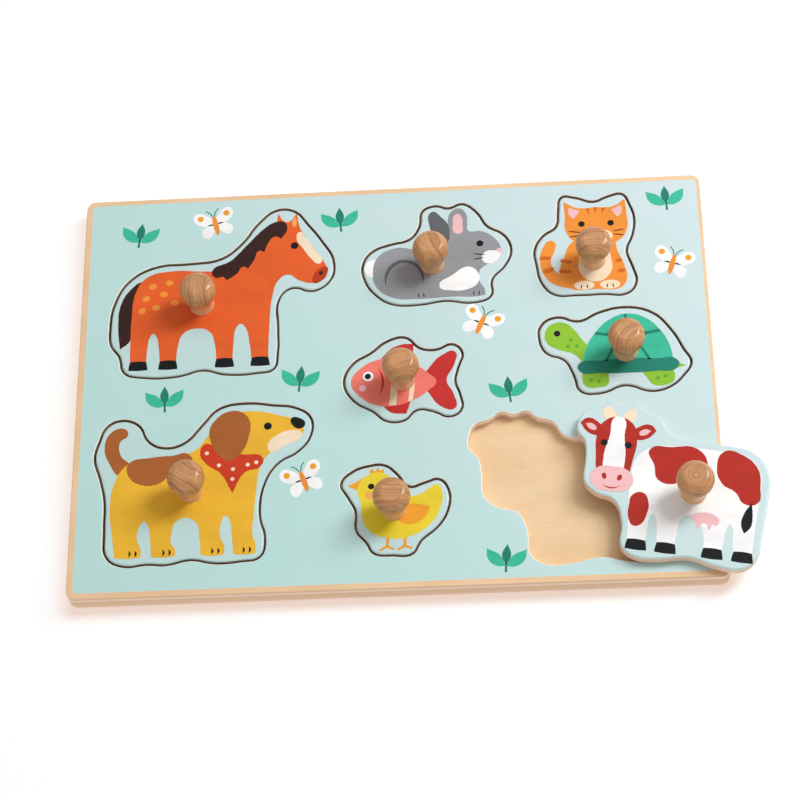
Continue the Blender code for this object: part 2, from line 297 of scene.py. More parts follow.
table_mesh = bpy.data.meshes.new("table")
sheet_of_paper = bmesh.new()
bmesh.ops.create_grid(sheet_of_paper, x_segments=1, y_segments=1, size=TABLE_SIZE / 2)
sheet_of_paper.to_mesh(table_mesh)
sheet_of_paper.free()
table = bpy.data.objects.new("table", table_mesh)
add_to_scene(table)
paper = Finish("white_paper")
paper.wear(Roughness=0.9, Specular_IOR_Level=0.0, Emission_Strength=1.0)
spot = paper.place()
seen = seen_directly(paper)
far = paper.length(spot).rise(*FAR_FROM_LAMPS)
left = 1 - paper.axis(spot, "X").rise(*LEFT_OF_BOARD)
as_light = tuple(channel * GLOW_AS_LIGHT for channel in TABLE_GLOW)
as_seen = paper.mix(far, paper.mix(left, TABLE_GLOW, LEFT_GLOW), FAR_GLOW)
paper.wear(
    Base_Color=paper.mix(left * (1 - far) * seen, TABLE_COLOUR, LEFT_COLOUR),
    Emission_Color=paper.mix(seen, as_light, as_seen),
)
table_mesh.materials.append(paper.owner)
bpy.context.scene.view_settings.view_transform = "Standard"
print(f"table: {TABLE_SIZE:.0f} m across")

# %% [markdown]
# ## Outlines
#
# Every recess and every piece is cut along a smooth closed line. The frame's meshes already hold
# these lines, as straight steps of a few millimetres. They could be typed in again, but reading them
# from the frame keeps each new piece exactly where the old one is. Blender's own AUTO handles then
# draw a smooth curve through the points. A point marked as a tip stays sharp, for the drawings.

# %% Smooth a line
OUTLINE_STEPS = 4


def tip(x, y):
    """A point of an outline at which the line turns sharply."""
    return (x, y, True)


def smooth_line(points, steps=6):
    """Points on Blender's smooth closed curve through the given ones, in the same unit."""
    curve = bpy.data.curves.new("draft", "CURVE")
    curve.dimensions = "3D"
    curve.resolution_u = steps
    spline = curve.splines.new("BEZIER")
    spline.bezier_points.add(len(points) - 1)
    spline.use_cyclic_u = True
    for knot, point in zip(spline.bezier_points, points):
        knot.co = (point[0], point[1], 0)
        knot.handle_left_type = knot.handle_right_type = "VECTOR" if len(point) > 2 else "AUTO"
    draft = bpy.data.objects.new("draft", curve)
    add_to_scene(draft)
    bpy.context.view_layer.update()
    mesh = draft.evaluated_get(bpy.context.evaluated_depsgraph_get()).to_mesh()
    found = np.array([vert.co[:2] for vert in mesh.vertices])
    bpy.data.objects.remove(draft)
    bpy.data.curves.remove(curve)
    return found


print("smooth steps between two points:", OUTLINE_STEPS)

# %% Read the outlines from the frame
WELD = 0.01 * MM


def underside_loops(node):
    """The closed outlines round a frame node's flat underside, longest first, in metres."""
    body = bmesh.new()
    body.from_mesh(frame["nodes"][node].data)
    bmesh.ops.remove_doubles(body, verts=body.verts, dist=WELD)
    low = min(vert.co.z for vert in body.verts)
    level = {face for face in body.faces if all(abs(v.co.z - low) < WELD for v in face.verts)}
    rim = [edge for edge in body.edges if sum(face in level for face in edge.link_faces) == 1]
    loops = []
    while rim:
        edge = rim.pop()
        chain = [edge.verts[0], edge.verts[1]]
        while True:
            follow = next((e for e in chain[-1].link_edges if e in rim), None)
            if follow is None:
                break
            rim.remove(follow)
            chain.append(follow.other_vert(chain[-1]))
        loops.append(np.array([vert.co[:2] for vert in chain[:-1]]))
    body.free()
    return sorted(loops, key=lambda loop: -np.ptp(loop[:, 0]))


recess_lines = [smooth_line(loop, OUTLINE_STEPS) for loop in underside_loops("frame_sheet")[1:]]
print("recesses:", len(recess_lines), "points on each:", [len(line) for line in recess_lines])

# %% [markdown]
# ## Flat pieces with rounded edges
#
# A plywood piece is flat above and below, and its edge leans inwards where it was sanded round. That
# could be a Bevel modifier, but on hundreds of short edges it can pinch. Here each outline carries a
# small edge profile of its own, rows of inset and height from the floor up, and the wall is built
# row by row. The flat faces are filled afterwards, holes and all.

# %% Give an edge its profile
ARC_STEPS = 5


def rounded_edge(low, high, radius, foot=0.0):
    """Rows of inset and height: a small chamfer at the foot, a wall, then a quarter round."""
    rows = [(foot, low), (0.0, low + foot)] if foot else [(0.0, low)]
    for step in range(ARC_STEPS + 1):
        angle = math.pi / 2 * step / ARC_STEPS
        rows.append((radius * (1 - math.cos(angle)), high - radius * (1 - math.sin(angle))))
    return rows


def anticlockwise(points, wanted=True):
    """The same closed line, turned round if it runs the other way."""
    x, y = points[:, 0], points[:, 1]
    area = np.sum(x * np.roll(y, -1) - np.roll(x, -1) * y)
    return points if (area > 0) == wanted else points[::-1]


def outward(points):
    """Unit vectors that point away from the material, which lies left of the line."""
    along = np.roll(points, -1, axis=0) - np.roll(points, 1, axis=0)
    along /= np.maximum(np.linalg.norm(along, axis=1, keepdims=True), 1e-12)
    return np.stack([along[:, 1], -along[:, 0]], axis=1)


print("rows of a rounded edge:", len(rounded_edge(0.0, 2 * MM, MM)))

# %% Build a flat piece
SHARP_EDGE = math.radians(38)


def add_flat(body, loops, slot=0, closed=True):
    """Adds a solid to a bmesh from (line, profile) pairs: the outer line first, then the holes.

    A film of ink isn't closed, because its underside is the board."""
    rims = {0: [], -1: []} if closed else {-1: []}
    for number, (line, profile) in enumerate(loops):
        line = anticlockwise(line, number == 0)
        away = outward(line)
        rows = []
        for inset, height in profile:
            ring = line - away * inset
            rows.append([body.verts.new((x, y, height)) for x, y in ring])
        for below, above in zip(rows, rows[1:]):
            for i in range(len(line)):
                j = (i + 1) % len(line)
                face = body.faces.new((below[i], below[j], above[j], above[i]))
                face.smooth = True
                face.material_index = slot
        for end, edges in rims.items():
            row = rows[end]
            edges += [body.edges.get((row[i], row[(i + 1) % len(row)])) for i in range(len(row))]
    for edges in rims.values():
        filled = bmesh.ops.triangle_fill(body, edges=edges, use_beauty=True)
        for item in filled["geom"]:
            if isinstance(item, bmesh.types.BMFace):
                item.material_index = slot


def finish_piece(name, body, materials, weighted=True, sharp=SHARP_EDGE):
    """Turns a bmesh into an object with smooth edges, flat faces and its materials."""
    bmesh.ops.recalc_face_normals(body, faces=body.faces)
    mesh = bpy.data.meshes.new(name)
    body.to_mesh(mesh)
    body.free()
    mesh.shade_smooth()
    mesh.set_sharp_from_angle(angle=sharp)
    for material in materials:
        mesh.materials.append(material)
    piece = bpy.data.objects.new(name, mesh)
    add_to_scene(piece)
    if weighted:
        modifier = piece.modifiers.new("flat faces stay flat", "WEIGHTED_NORMAL")
        modifier.keep_sharp = True
        modifier.weight = 100
    return piece


# %% [markdown]
# ## Birch plywood
#
# Bare birch is pale, with fine dark fibres along the grain and slow changes of tone. Cut across, the
# plies show as stripes with a thin dark glue line between them. An image could show one board, but
# noise that is stretched along the grain gives every face its own. The stripes follow the height
# above the piece's underside, so they run round the whole edge. The sheet is pinker than the board
# below it, so a face takes its three tones as a set. In the narrow slit round a seated piece both
# walls are painted darker and browner as painted shade, and that draws the dark outline round every
# animal.

# %% Mix the plywood
def linear(red, green, blue):
    """The linear colour of an sRGB colour given from 0 to 255."""
    channels = [value / 255 for value in (red, green, blue)]
    return tuple(c / 12.92 if c <= 0.04045 else ((c + 0.055) / 1.055) ** 2.4 for c in channels)


GLUE_LINE = linear(150, 96, 64)
GLUE_LINE_REACH = (0.08 * MM, 0.26 * MM)
PLY_BLUR = 0.05 * MM
PLY_WAVER = 0.25 * MM
# Painted shade for both walls of the narrow slit round each seated plate.
SLIT_SHADE = (0.45, 0.45, 0.4275)
# Waves per metre along each axis, then the noise's detail and roughness.
BIRCH = {
    "drift": ((26.0, 60.0, 60.0), 3.0, 0.5),
    "fibre": ((110.0, 1500.0, 1500.0), 4.0, 0.65),
    "flecks": ((420.0, 2600.0, 2600.0), 2.0, 0.5),
    "streak": ((420.0, 420.0, 2600.0), 3.0, 0.6),
    "waver": ((60.0, 60.0, 60.0), 1.0, 0.5),
}


def birch_face(finish, point, tones):
    """The colour of a bare face with its grain along X, and the fibres' height."""
    drift, fibre, flecks = (finish.noise(point, *BIRCH[key]) for key in ("drift", "fibre", "flecks"))
    colour = finish.mix(drift.rise(0.30, 0.72), tones["pale"], tones["mid"])
    colour = finish.mix(fibre.rise(0.50, 0.80) * 0.40, colour, tones["dark"])
    colour = finish.mix(flecks.rise(0.60, 0.76) * 0.30, colour, tones["dark"])
    return colour, fibre


def ply_edge(finish, point, floor, lines, tones, strength=0.7):
    """The colour of a cut edge: plies that change at the given heights above the floor."""
    streak, waver = (finish.noise(point, *BIRCH[key]) for key in ("streak", "waver"))
    height = finish.axis(point, "Z") - floor + (waver - 0.5) * PLY_WAVER
    past_first, past_second = (height.rise(line - PLY_BLUR, line + PLY_BLUR) for line in lines)
    colour = finish.mix(past_first * (1 - past_second), tones["long"], tones["cross"])
    colour = finish.mix(streak.rise(0.50, 0.82) * 0.45, colour, tones["dark"])
    for line in lines:
        seam = 1 - abs(height - line).rise(*GLUE_LINE_REACH)
        colour = finish.mix(seam * strength, colour, GLUE_LINE)
    return colour


def painted_slit_shade(finish, colour, amount=1.0):
    """Painted shade: a cut edge made browner and darker, as the slit round a seated piece shades it.
    """
    settings = {"data_type": "RGBA", "blend_type": "MULTIPLY"}
    return finish.node("Mix", settings, {"Factor": amount, 6: colour, 7: SLIT_SHADE}, output=2)


print("glue line, linear:", [round(channel, 3) for channel in GLUE_LINE])

# %% [markdown]
# ## The printed sheet
#
# The upper sheet is printed pale aqua, but for a bare border of 2 to 3 mm, and its edges are sanded.
# The print sits a little off the middle, so the border is narrower on the right. The printed area is
# a rounded rectangle, so the shader measures how far a point lies from one. Under the aqua lies a
# white primer, which shows as a fine line where the rims of the recesses were sanded; that line is
# also a painted highlight. The aqua is painted paler towards the right-hand back corner, as painted
# sheen. The walls of the empty recess are painted paler, as painted light, with a wide dark line near
# their foot that is a glue line and painted shade. The walls of the seated recesses are painted shade.

# %% Mark the printed area and mix a printed colour
PAINTED_SHEEN_DIRECTION = (1.0, 0.9, 0.0)
PAINTED_SHEEN_SPAN = (-0.13, 0.24)
CLOUD_SHARE = 0.2
PRINT_CLOUD = ((30.0, 55.0, 55.0), 3.0, 0.55)
PRINT_PORES = ((500.0, 2400.0, 2400.0), 2.0, 0.5)
PRINT_BLUR = 0.08 * MM
BORDERS = {"left": 3.05 * MM, "right": 1.8 * MM, "front": 3.0 * MM, "back": 2.65 * MM}


def inside_rectangle(finish, point, low, high, radius):
    """One inside a rounded rectangle between two corners, nought outside."""
    middle = (low + high) / 2
    half = (high - low) / 2
    centred = finish.vector("SUBTRACT", point, (middle.x, middle.y, 0.0))
    flat = finish.vector("MULTIPLY", finish.vector("ABSOLUTE", centred), (1.0, 1.0, 0.0))
    past = finish.vector("SUBTRACT", flat, (half.x - radius, half.y - radius, 0.0))
    past = finish.vector("MAXIMUM", past, (0.0, 0.0, 0.0))
    return 1 - finish.length(past).rise(radius - PRINT_BLUR, radius + PRINT_BLUR)


def printed_colour(finish, point, ink, pale):
    """A printed colour: paler towards one corner as painted sheen, cloudy, with the wood's fine grain
    under it.
    """
    cloud = finish.noise(point, *PRINT_CLOUD)
    fine = finish.noise(point, *PRINT_PORES)
    # Painted sheen: the print is paler towards the right-hand back corner, mixed with a real cloudy
    # drift.
    across = finish.vector("DOT_PRODUCT", point, PAINTED_SHEEN_DIRECTION, "Value")
    sheen_and_cloud = across.rise(*PAINTED_SHEEN_SPAN) * (1 - CLOUD_SHARE) + cloud.rise(0.32, 0.70) * CLOUD_SHARE
    colour = finish.mix(sheen_and_cloud, ink, pale)
    return finish.mix(fine.rise(0.60, 0.80) * 0.25, colour, tuple(c * 0.88 for c in ink)), fine


low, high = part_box("frame_sheet")
print_low = low + Vector((BORDERS["left"], BORDERS["front"], 0))
print_high = high - Vector((BORDERS["right"], BORDERS["back"], 0))
print("printed area in mm:", [round(side / MM, 1) for side in (print_high - print_low)[:2]])

# %% Mix the printed sheet
AQUA = linear(180, 219, 215)
AQUA_PALE = linear(200, 217, 220)
PRIMER_AND_PAINTED_LIGHT = linear(247, 244, 238)
PINK_BIRCH = {
    "pale": linear(236, 201, 162), "mid": linear(228, 188, 146), "dark": linear(196, 150, 106),
}
BOARD_EDGE = {
    "long": linear(242, 202, 168), "cross": linear(252, 215, 188), "dark": linear(206, 160, 124),
}
SHEET_PLIES = (1.3 * MM, 4.35 * MM)
PRINT_CORNER = 2.4 * MM
EMPTY_MARGIN = Vector((1.5, 1.5, 0)) * MM
EMPTY_WALL_PAINTED_LIGHT = 0.40
EMPTY_GLUE_LINE_AND_SHADE = 0.75
EMPTY_LINE_AND_SHADE_REACH = (0.10 * MM, 0.50 * MM)


def room_to_a_plate(line):
    """How far a recess lies from the nearest seated plate."""
    middle = (line.min(0) + line.max(0)) / 2
    corners = [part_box(name + "_plate") for name in ANIMALS]
    return min(math.dist(middle, ((low + high) / 2)[:2]) for low, high in corners)


empty_recess = max(recess_lines, key=room_to_a_plate)
sheet = Finish("printed_sheet_plywood")
point = sheet.place()
bare, fibre = birch_face(sheet, point, PINK_BIRCH)
edge = ply_edge(sheet, point, low.z, SHEET_PLIES, BOARD_EDGE)
empty_low, empty_high = (Vector((*corner, 0)) for corner in (empty_recess.min(0), empty_recess.max(0)))
empty = inside_rectangle(sheet, point, empty_low - EMPTY_MARGIN, empty_high + EMPTY_MARGIN, MM)
up = sheet.facing_up()
aqua, fine = printed_colour(sheet, point, AQUA, AQUA_PALE)
print_area = inside_rectangle(sheet, point, print_low, print_high, PRINT_CORNER)
# Painted shade: the walls of the seated recesses are darkened, where the slit round each plate lies in
# shade.
edge = painted_slit_shade(sheet, edge, print_area * (1 - empty))
# Painted light: the empty recess's walls are painted paler than the same wood elsewhere.
edge = sheet.mix(empty * EMPTY_WALL_PAINTED_LIGHT, edge, PRIMER_AND_PAINTED_LIGHT)
# The empty recess gets a wider, stronger dark line near the foot of its walls: a glue line that is
# also painted shade.
past_ply = sheet.axis(point, "Z") - (low.z + SHEET_PLIES[0])
glue_line_and_shade = 1 - abs(past_ply).rise(*EMPTY_LINE_AND_SHADE_REACH)
edge = sheet.mix(empty * glue_line_and_shade * EMPTY_GLUE_LINE_AND_SHADE, edge, GLUE_LINE)
bare = sheet.mix(1 - up.rise(0.30, 0.70), bare, edge)
# A fine white line on the sanded rims of the recesses: the primer under the print, and also a painted
# highlight.
bare = sheet.mix(print_area * up.rise(0.15, 0.35), bare, PRIMER_AND_PAINTED_LIGHT)
printed = print_area * up.rise(0.90, 0.98)
sheet.wear(
    Base_Color=sheet.mix(printed, bare, aqua),
    Roughness=0.55 - printed * 0.10,
    Coat_Weight=printed * 0.10,
    Coat_Roughness=0.25,
    Normal=sheet.bump(fibre * 0.5 + fine * 0.5, 0.02 * MM),
)
print("empty recess in mm:", [round(side / MM, 1) for side in (empty_high - empty_low)[:2]])

# %% Build the printed sheet
CORNER_RADIUS = 4.4 * MM
CORNER_STEPS = 12
SHEET_ROUNDING = 0.55 * MM
RECESS_ROUNDING = 0.45 * MM


def rounded_rectangle(low, high, radius, steps):
    """A closed line round a box's plan, with round corners."""
    points = []
    for quarter, (side_x, side_y) in enumerate(((1, 1), (-1, 1), (-1, -1), (1, -1))):
        middle_x = (high.x - radius) if side_x > 0 else (low.x + radius)
        middle_y = (high.y - radius) if side_y > 0 else (low.y + radius)
        for step in range(steps + 1):
            angle = math.pi / 2 * (quarter + step / steps)
            points.append((middle_x + radius * math.cos(angle), middle_y + radius * math.sin(angle)))
    return np.array(points)


body = bmesh.new()
outline = rounded_rectangle(low, high, CORNER_RADIUS, CORNER_STEPS)
loops = [(outline, rounded_edge(low.z, high.z, SHEET_ROUNDING))]
loops += [(line, rounded_edge(low.z, high.z, RECESS_ROUNDING)) for line in recess_lines]
add_flat(body, loops)
printed_sheet = finish_piece("printed_sheet", body, [sheet.owner])
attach(printed_sheet, "board")
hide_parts("frame_sheet")
print("printed sheet:", len(printed_sheet.data.vertices), "points")

# %% [markdown]
# ## The backing board and the glue
#
# The backing board is bare birch, and its top is the floor of every recess. The frame's own board
# could be kept, but its corners have few steps, so the same rounded rectangle is built again with
# more. The two boards are glued. A real film of glue, set back a little from the walls, closes the
# joint when the board is seen from close by.

# %% Lay the backing board and glue the sheet to it
YELLOW_BIRCH = {
    "pale": linear(236, 205, 163), "mid": linear(229, 194, 149), "dark": linear(198, 155, 106),
}
# The lower of these two lines sits near the foot and darkens the bottom edge: a glue line that is also
# painted shade.
BACKING_PLY_AND_SHADE_LINES = (0.35 * MM, 2.6 * MM)
BACKING_FOOT = 0.35 * MM
BACKING_ROUNDING = 0.1 * MM
GLUE_SETBACK = 0.08 * MM
GLUE_PALE = linear(214, 176, 142)
GLUE_DARK = linear(190, 150, 116)
GLUE_CLOUD = ((300.0, 300.0, 300.0), 3.0, 0.5)

backing = Finish("bare_backing_plywood")
point = backing.place()
face, fibre = birch_face(backing, point, YELLOW_BIRCH)
sideways = 1 - abs(backing.facing_up()).rise(0.35, 0.75)
edge = ply_edge(backing, point, 0.0, BACKING_PLY_AND_SHADE_LINES, BOARD_EDGE, 0.4)
backing.wear(
    Base_Color=backing.mix(sideways, face, edge),
    Roughness=0.55,
    Normal=backing.bump(fibre, 0.03 * MM),
)
board_low, board_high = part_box("backing_board")
body = bmesh.new()
outline = rounded_rectangle(board_low, board_high, CORNER_RADIUS, CORNER_STEPS)
edge = rounded_edge(board_low.z, board_high.z, BACKING_ROUNDING, BACKING_FOOT)
add_flat(body, [(outline, edge)])
bare_board = finish_piece("bare_board", body, [backing.owner])
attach(bare_board, "board")
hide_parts("backing_board")

glue = Finish("wood_glue")
tone = glue.noise(glue.place(), *GLUE_CLOUD).rise(0.3, 0.7)
glue.wear(Base_Color=glue.mix(tone, GLUE_PALE, GLUE_DARK), Roughness=0.6)
film = [(GLUE_SETBACK, board_high.z), (GLUE_SETBACK, low.z)]
body = bmesh.new()
add_flat(body, [(line, film) for line in [outline, *recess_lines]])
glue_film = finish_piece("glue_film", body, [glue.owner], weighted=False)
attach(glue_film, "board")
print(f"glue film: {(low.z - board_high.z) / MM:.2f} mm thick")

# %% [markdown]
# ## The animal plates
#
# Each plate is 5 mm plywood, printed on top in nearly the board's aqua. Its upper edge is sanded
# to a soft round and the print runs over it, so it catches the light on the side of the lamp. The
# cut edge below and the underside are bare. A screw comes up through a countersunk hole.

# %% Make the plates
PLATE_EDGE = {
    "long": linear(250, 226, 206), "cross": linear(238, 206, 180), "dark": linear(208, 168, 138),
}
PLATE_AQUA = linear(184, 215, 213)
PLATE_AQUA_PALE = linear(201, 217, 221)
PLATE_ROUNDING = 0.9 * MM
PLATE_FOOT = 0.25 * MM
PLATE_SANDING = 0.12 * MM
PLATE_PLIES = (1.4 * MM, 3.5 * MM)
SCREW_HOLE_RADIUS = 1.6 * MM
COUNTERSINK_SINK = 0.45 * MM
BOARD_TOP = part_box("frame_sheet")[1].z


def plate_finish(name, floor):
    finish = Finish(name + "_printed_plywood")
    point = finish.place()
    up = finish.facing_up()
    bare, fibre = birch_face(finish, point, PINK_BIRCH)
    edge = ply_edge(finish, point, floor, PLATE_PLIES, PLATE_EDGE)
    # Painted shade: a seated plate's cut edge is darkened, where the slit round it lies in shade.
    if floor < BOARD_TOP:
        edge = painted_slit_shade(finish, edge)
    bare = finish.mix(1 - abs(up).rise(0.35, 0.75), bare, edge)
    aqua, fine = printed_colour(finish, point, PLATE_AQUA, PLATE_AQUA_PALE)
    printed = up.rise(0.12, 0.30)
    return finish.wear(
        Base_Color=finish.mix(printed, bare, aqua),
        Roughness=0.58 - printed * 0.13,
        Coat_Weight=printed * 0.25,
        Coat_Roughness=0.20,
        Normal=finish.bump(fibre * 0.5 + fine * 0.5, 0.015 * MM),
    )


def make_plate(name):
    low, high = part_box(name + "_plate")
    outline, hole = underside_loops(name + "_plate")[:2]
    mouth = np.ptp(hole[:, 0]) / 2
    cone = mouth - SCREW_HOLE_RADIUS
    bore = [
        (0.0, low.z),
        (0.0, low.z + COUNTERSINK_SINK),
        (-cone, low.z + COUNTERSINK_SINK + cone),
        (-cone, high.z),
    ]
    body = bmesh.new()
    edge = rounded_edge(low.z, high.z, PLATE_ROUNDING, PLATE_FOOT)
    line = anticlockwise(smooth_line(outline, OUTLINE_STEPS))
    line = line - outward(line) * PLATE_SANDING
    add_flat(body, [(line, edge), (smooth_line(hole, 3), bore)])
    plate = finish_piece(name + "_printed_plate", body, [plate_finish(name, low.z)])
    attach(plate, name)
    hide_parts(name + "_plate")
    return plate


plates = {name: make_plate(name) for name in ANIMALS}
print("plates:", {name: len(plate.data.vertices) for name, plate in plates.items()})

# %% [markdown]
# ## The knobs
#
# A knob is turned on a lathe from beech: a flat top, a round head, a waist and a slightly wider foot.
# A profile spun round the axis is how the lathe makes it, and how Blender makes it best too. The
# tree's rings show as uneven bands, straight where the knob was cut far from the heart and curled
# where it was cut close to it, so the bands are noise over the distance from the heart. Short dark
# flecks lie along the grain, and a clear lacquer gives small glints.

# %% Mix the beech
BEECH_LIGHT = linear(202, 146, 94)
BEECH_MID = linear(180, 122, 72)
BEECH_DARK = linear(122, 70, 36)
BEECH_PAINTED_LIGHT = linear(238, 194, 152)
NECK_HEIGHTS = (4.0, 11.0)
NECK_PAINTED_LIGHT = 0.5
HEAD_COAT = 0.45
TOP_RIM_PAINTED_SHADE = {"radius": 0.58, "width": 0.05, "depth": 0.35}
USUAL_GRAIN = {"size": 1.0, "depth": 0.55, "heart": 45}
KNOB_GRAIN = {
    "horse": {"turn": 86},
    "rabbit": {"turn": 112, "heart": 25},
    "cat": {"turn": 2, "depth": 0.65},
    "turtle": {"turn": 42, "size": 0.55, "depth": 0.40, "heart": 12},
    "fish": {"turn": 12, "size": 0.6, "depth": 0.30},
    "dog": {"turn": 146, "depth": 0.65},
    "chick": {"turn": 176, "size": 0.8, "depth": 0.35},
    "cow": {"turn": 20, "size": 0.6, "depth": 0.5, "heart": 0.4},
}


def beech(name, head):
    """Turned beech for a knob whose head has the given radius."""
    wood = USUAL_GRAIN | KNOB_GRAIN[name]
    finish = Finish(name + "_lacquered_beech")
    point = finish.place()
    height = finish.axis(point, "Z") / MM
    from_heart = finish.vector("ADD", point, (0.0, wood["heart"] * MM, 0.0))
    away = finish.length(finish.vector("MULTIPLY", from_heart, (1.0, 1.0, 0.0))) / MM
    sockets = {"X": away, "Y": finish.axis(point, "X") / MM, "Z": height}
    in_the_tree = finish.node("CombineXYZ", None, sockets)

    def grain(across, lengthways, upright, detail):
        """Noise over the distance from the heart, drawn out along the grain, in waves per mm."""
        waves = (across / wood["size"], lengthways, upright)
        return finish.noise(in_the_tree, waves, detail, 0.6)

    band = grain(0.55, 0.03, 0.012, 2.0)
    ring = 1 - abs(grain(0.62, 0.045, 0.014, 2.0) - 0.5).rise(0.0, 0.04)
    streak = grain(3.0, 0.20, 0.10, 3.0)
    fleck = grain(4.2, 1.3, 0.5, 1.0)
    colour = finish.mix(band.rise(0.40, 0.62), BEECH_LIGHT, BEECH_MID)
    patches = grain(0.35, 0.07, 0.05, 1.0).rise(0.30, 0.60)
    colour = finish.mix(ring * patches * wood["depth"], colour, BEECH_DARK)
    colour = finish.mix(streak.rise(0.52, 0.72) * 0.35, colour, BEECH_DARK)
    colour = finish.mix(fleck.rise(0.60, 0.70) * 0.30, colour, BEECH_DARK)
    # Painted shade: a thin dark ring where the flat top meets the rounded head, on the faces that look
    # up.
    from_axis = finish.length(finish.vector("MULTIPLY", point, (1 / head, 1 / head, 0.0)))
    turned = 1 - abs(from_axis - TOP_RIM_PAINTED_SHADE["radius"]).rise(0.0, TOP_RIM_PAINTED_SHADE["width"])
    turned = turned * finish.facing_up().rise(0.6, 0.8) * TOP_RIM_PAINTED_SHADE["depth"]
    colour = finish.mix(turned, colour, BEECH_DARK)
    # Painted light: the neck and foot are painted paler towards the bottom, standing in for light
    # reflected up from the print.
    neck = 1 - height.rise(*NECK_HEIGHTS)
    colour = finish.mix(neck * NECK_PAINTED_LIGHT, colour, BEECH_PAINTED_LIGHT)
    return finish.wear(
        Base_Color=colour,
        Roughness=0.45,
        Specular_IOR_Level=0.2,
        Coat_Weight=HEAD_COAT + (1 - HEAD_COAT) * neck,
        Coat_Roughness=0.09,
        Normal=finish.bump(streak, 0.02 * MM),
    )


print("knobs turned by, in degrees:", {name: grain["turn"] for name, grain in KNOB_GRAIN.items()})

# %% Turn the knobs
KNOB_STEPS = 96
PROFILE_STEPS = 5
SHARP_TURNING = math.radians(9)
# Shares of the head's radius and of the knob's height, from the middle of the top to the foot's.
KNOB_PROFILE = [
    tip(0.0, 1.0), tip(0.57, 1.0), (0.63, 0.994), (0.75, 0.966), (0.87, 0.912), (0.965, 0.825),
    (1.0, 0.72), (0.965, 0.63), (0.80, 0.42), (0.655, 0.26), (0.617, 0.17), (0.645, 0.07),
    tip(0.69, 0.02), tip(0.675, 0.0), tip(0.0, 0.0),
]


def make_knob(name):
    low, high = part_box(name + "_knob")
    centre = (low + high) / 2
    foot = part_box(name + "_plate")[1].z
    radius = (high.x - low.x) / 2
    profile = [(x * radius, z * (high.z - foot), *rest) for x, z, *rest in KNOB_PROFILE]
    body = bmesh.new()
    line = [body.verts.new((x, 0, z)) for x, z in smooth_line(profile, PROFILE_STEPS)]
    for start, end in zip(line, line[1:] + line[:1]):
        if max(start.co.x, end.co.x) > WELD:
            body.edges.new((start, end))
    bmesh.ops.spin(
        body, geom=line + list(body.edges), cent=(0, 0, 0), axis=(0, 0, 1),
        angle=2 * math.pi, steps=KNOB_STEPS, use_merge=True,
    )
    bmesh.ops.remove_doubles(body, verts=body.verts, dist=WELD)
    knob = finish_piece(name + "_turned_knob", body, [beech(name, radius)], False, SHARP_TURNING)
    knob.location = (centre.x, centre.y, foot)
    knob.rotation_euler.z = math.radians(KNOB_GRAIN[name]["turn"])
    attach(knob, name)
    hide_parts(name + "_knob")
    return knob


knobs = {name: make_knob(name) for name in ANIMALS}
print("knobs:", len(knobs), "with", len(knobs["cow"].data.vertices), "points each")

# %% [markdown]
# ## Printing inks
#
# Each picture is screen printed: one flat, slightly grainy colour after another. An image texture
# would be the usual way to put a picture on a board. Here every patch of ink is a film of its own
# with a drawn outline, so its edge stays crisp from close by. Patches printed later lie higher by
# the thickness of one film, as they do on the real board, and so they cover the earlier ones.

# %% Mix the inks
INKS = {
    "chestnut": (230, 98, 44), "rust": (184, 60, 30), "dark": (50, 25, 21), "ink": (8, 11, 12),
    "white": (250, 250, 250), "cream": (248, 226, 196), "mustard": (238, 184, 54),
    "tan": (170, 98, 48), "red": (206, 62, 34), "orange": (240, 148, 58), "amber": (210, 106, 38),
    "grey": (150, 152, 156), "slate": (98, 99, 104), "pink": (243, 192, 196),
    "lime": (143, 194, 54), "moss": (104, 166, 46), "teal": (62, 188, 156), "deep": (34, 128, 108),
    "coral": (240, 126, 112), "crimson": (198, 50, 48), "yellow": (236, 212, 56),
    "gold": (240, 164, 48), "brick": (180, 46, 34), "apricot": (244, 172, 92),
}
DARKER = 0.90
PALER = 0.10
INK_CLOUD = ((40.0, 70.0, 40.0), 3.0, 0.6)
INK_PORES = ((700.0, 2600.0, 700.0), 2.0, 0.5)


def printing_ink(name):
    """An ink with slow drift, pinholes and the grain of the wood beneath it."""
    finish = Finish("ink_" + name)
    point = finish.place()
    base = linear(*INKS[name])
    deeper = tuple(channel * DARKER for channel in base)
    paler = tuple(channel + (1 - channel) * PALER for channel in base)
    cloud = finish.noise(point, *INK_CLOUD)
    pores = finish.noise(point, *INK_PORES)
    colour = finish.mix(cloud.rise(0.32, 0.62), deeper, base)
    colour = finish.mix(pores.rise(0.62, 0.82) * 0.6, colour, paler)
    return finish.wear(
        Base_Color=colour,
        Roughness=0.50,
        Specular_IOR_Level=0.12,
        Normal=finish.bump(pores, 0.01 * MM),
    )


inks = {name: printing_ink(name) for name in INKS}
print("inks:", len(inks))

# %% [markdown]
# ## Shapes for the drawings
#
# A drawing is a list of printing passes, from the bottom up. Each pass holds patches, and a patch is
# an ink with its outline in millimetres from the animal's own place. A few shapes come back on every
# animal, such as a round eye or a hoof, so they are functions and not lists of points. A shape with
# two like halves, and a pair of like patches, are drawn once and mirrored.

# %% Draw the repeated shapes
def oval(x, y, half_x, half_y, turn=0, steps=12):
    tilt = Quaternion((0, 0, 1), math.radians(turn))
    points = []
    for step in range(steps):
        angle = 2 * math.pi * step / steps
        spot = tilt @ Vector((half_x * math.cos(angle), half_y * math.sin(angle), 0))
        points.append((x + spot.x, y + spot.y))
    return points


def disc(x, y, radius):
    return oval(x, y, radius, radius)


def stroke(x, y, length, turn, width=0.55):
    """A fine brush stroke, such as a whisker or the gap between two toes."""
    return oval(x, y, length / 2, width / 2, turn)


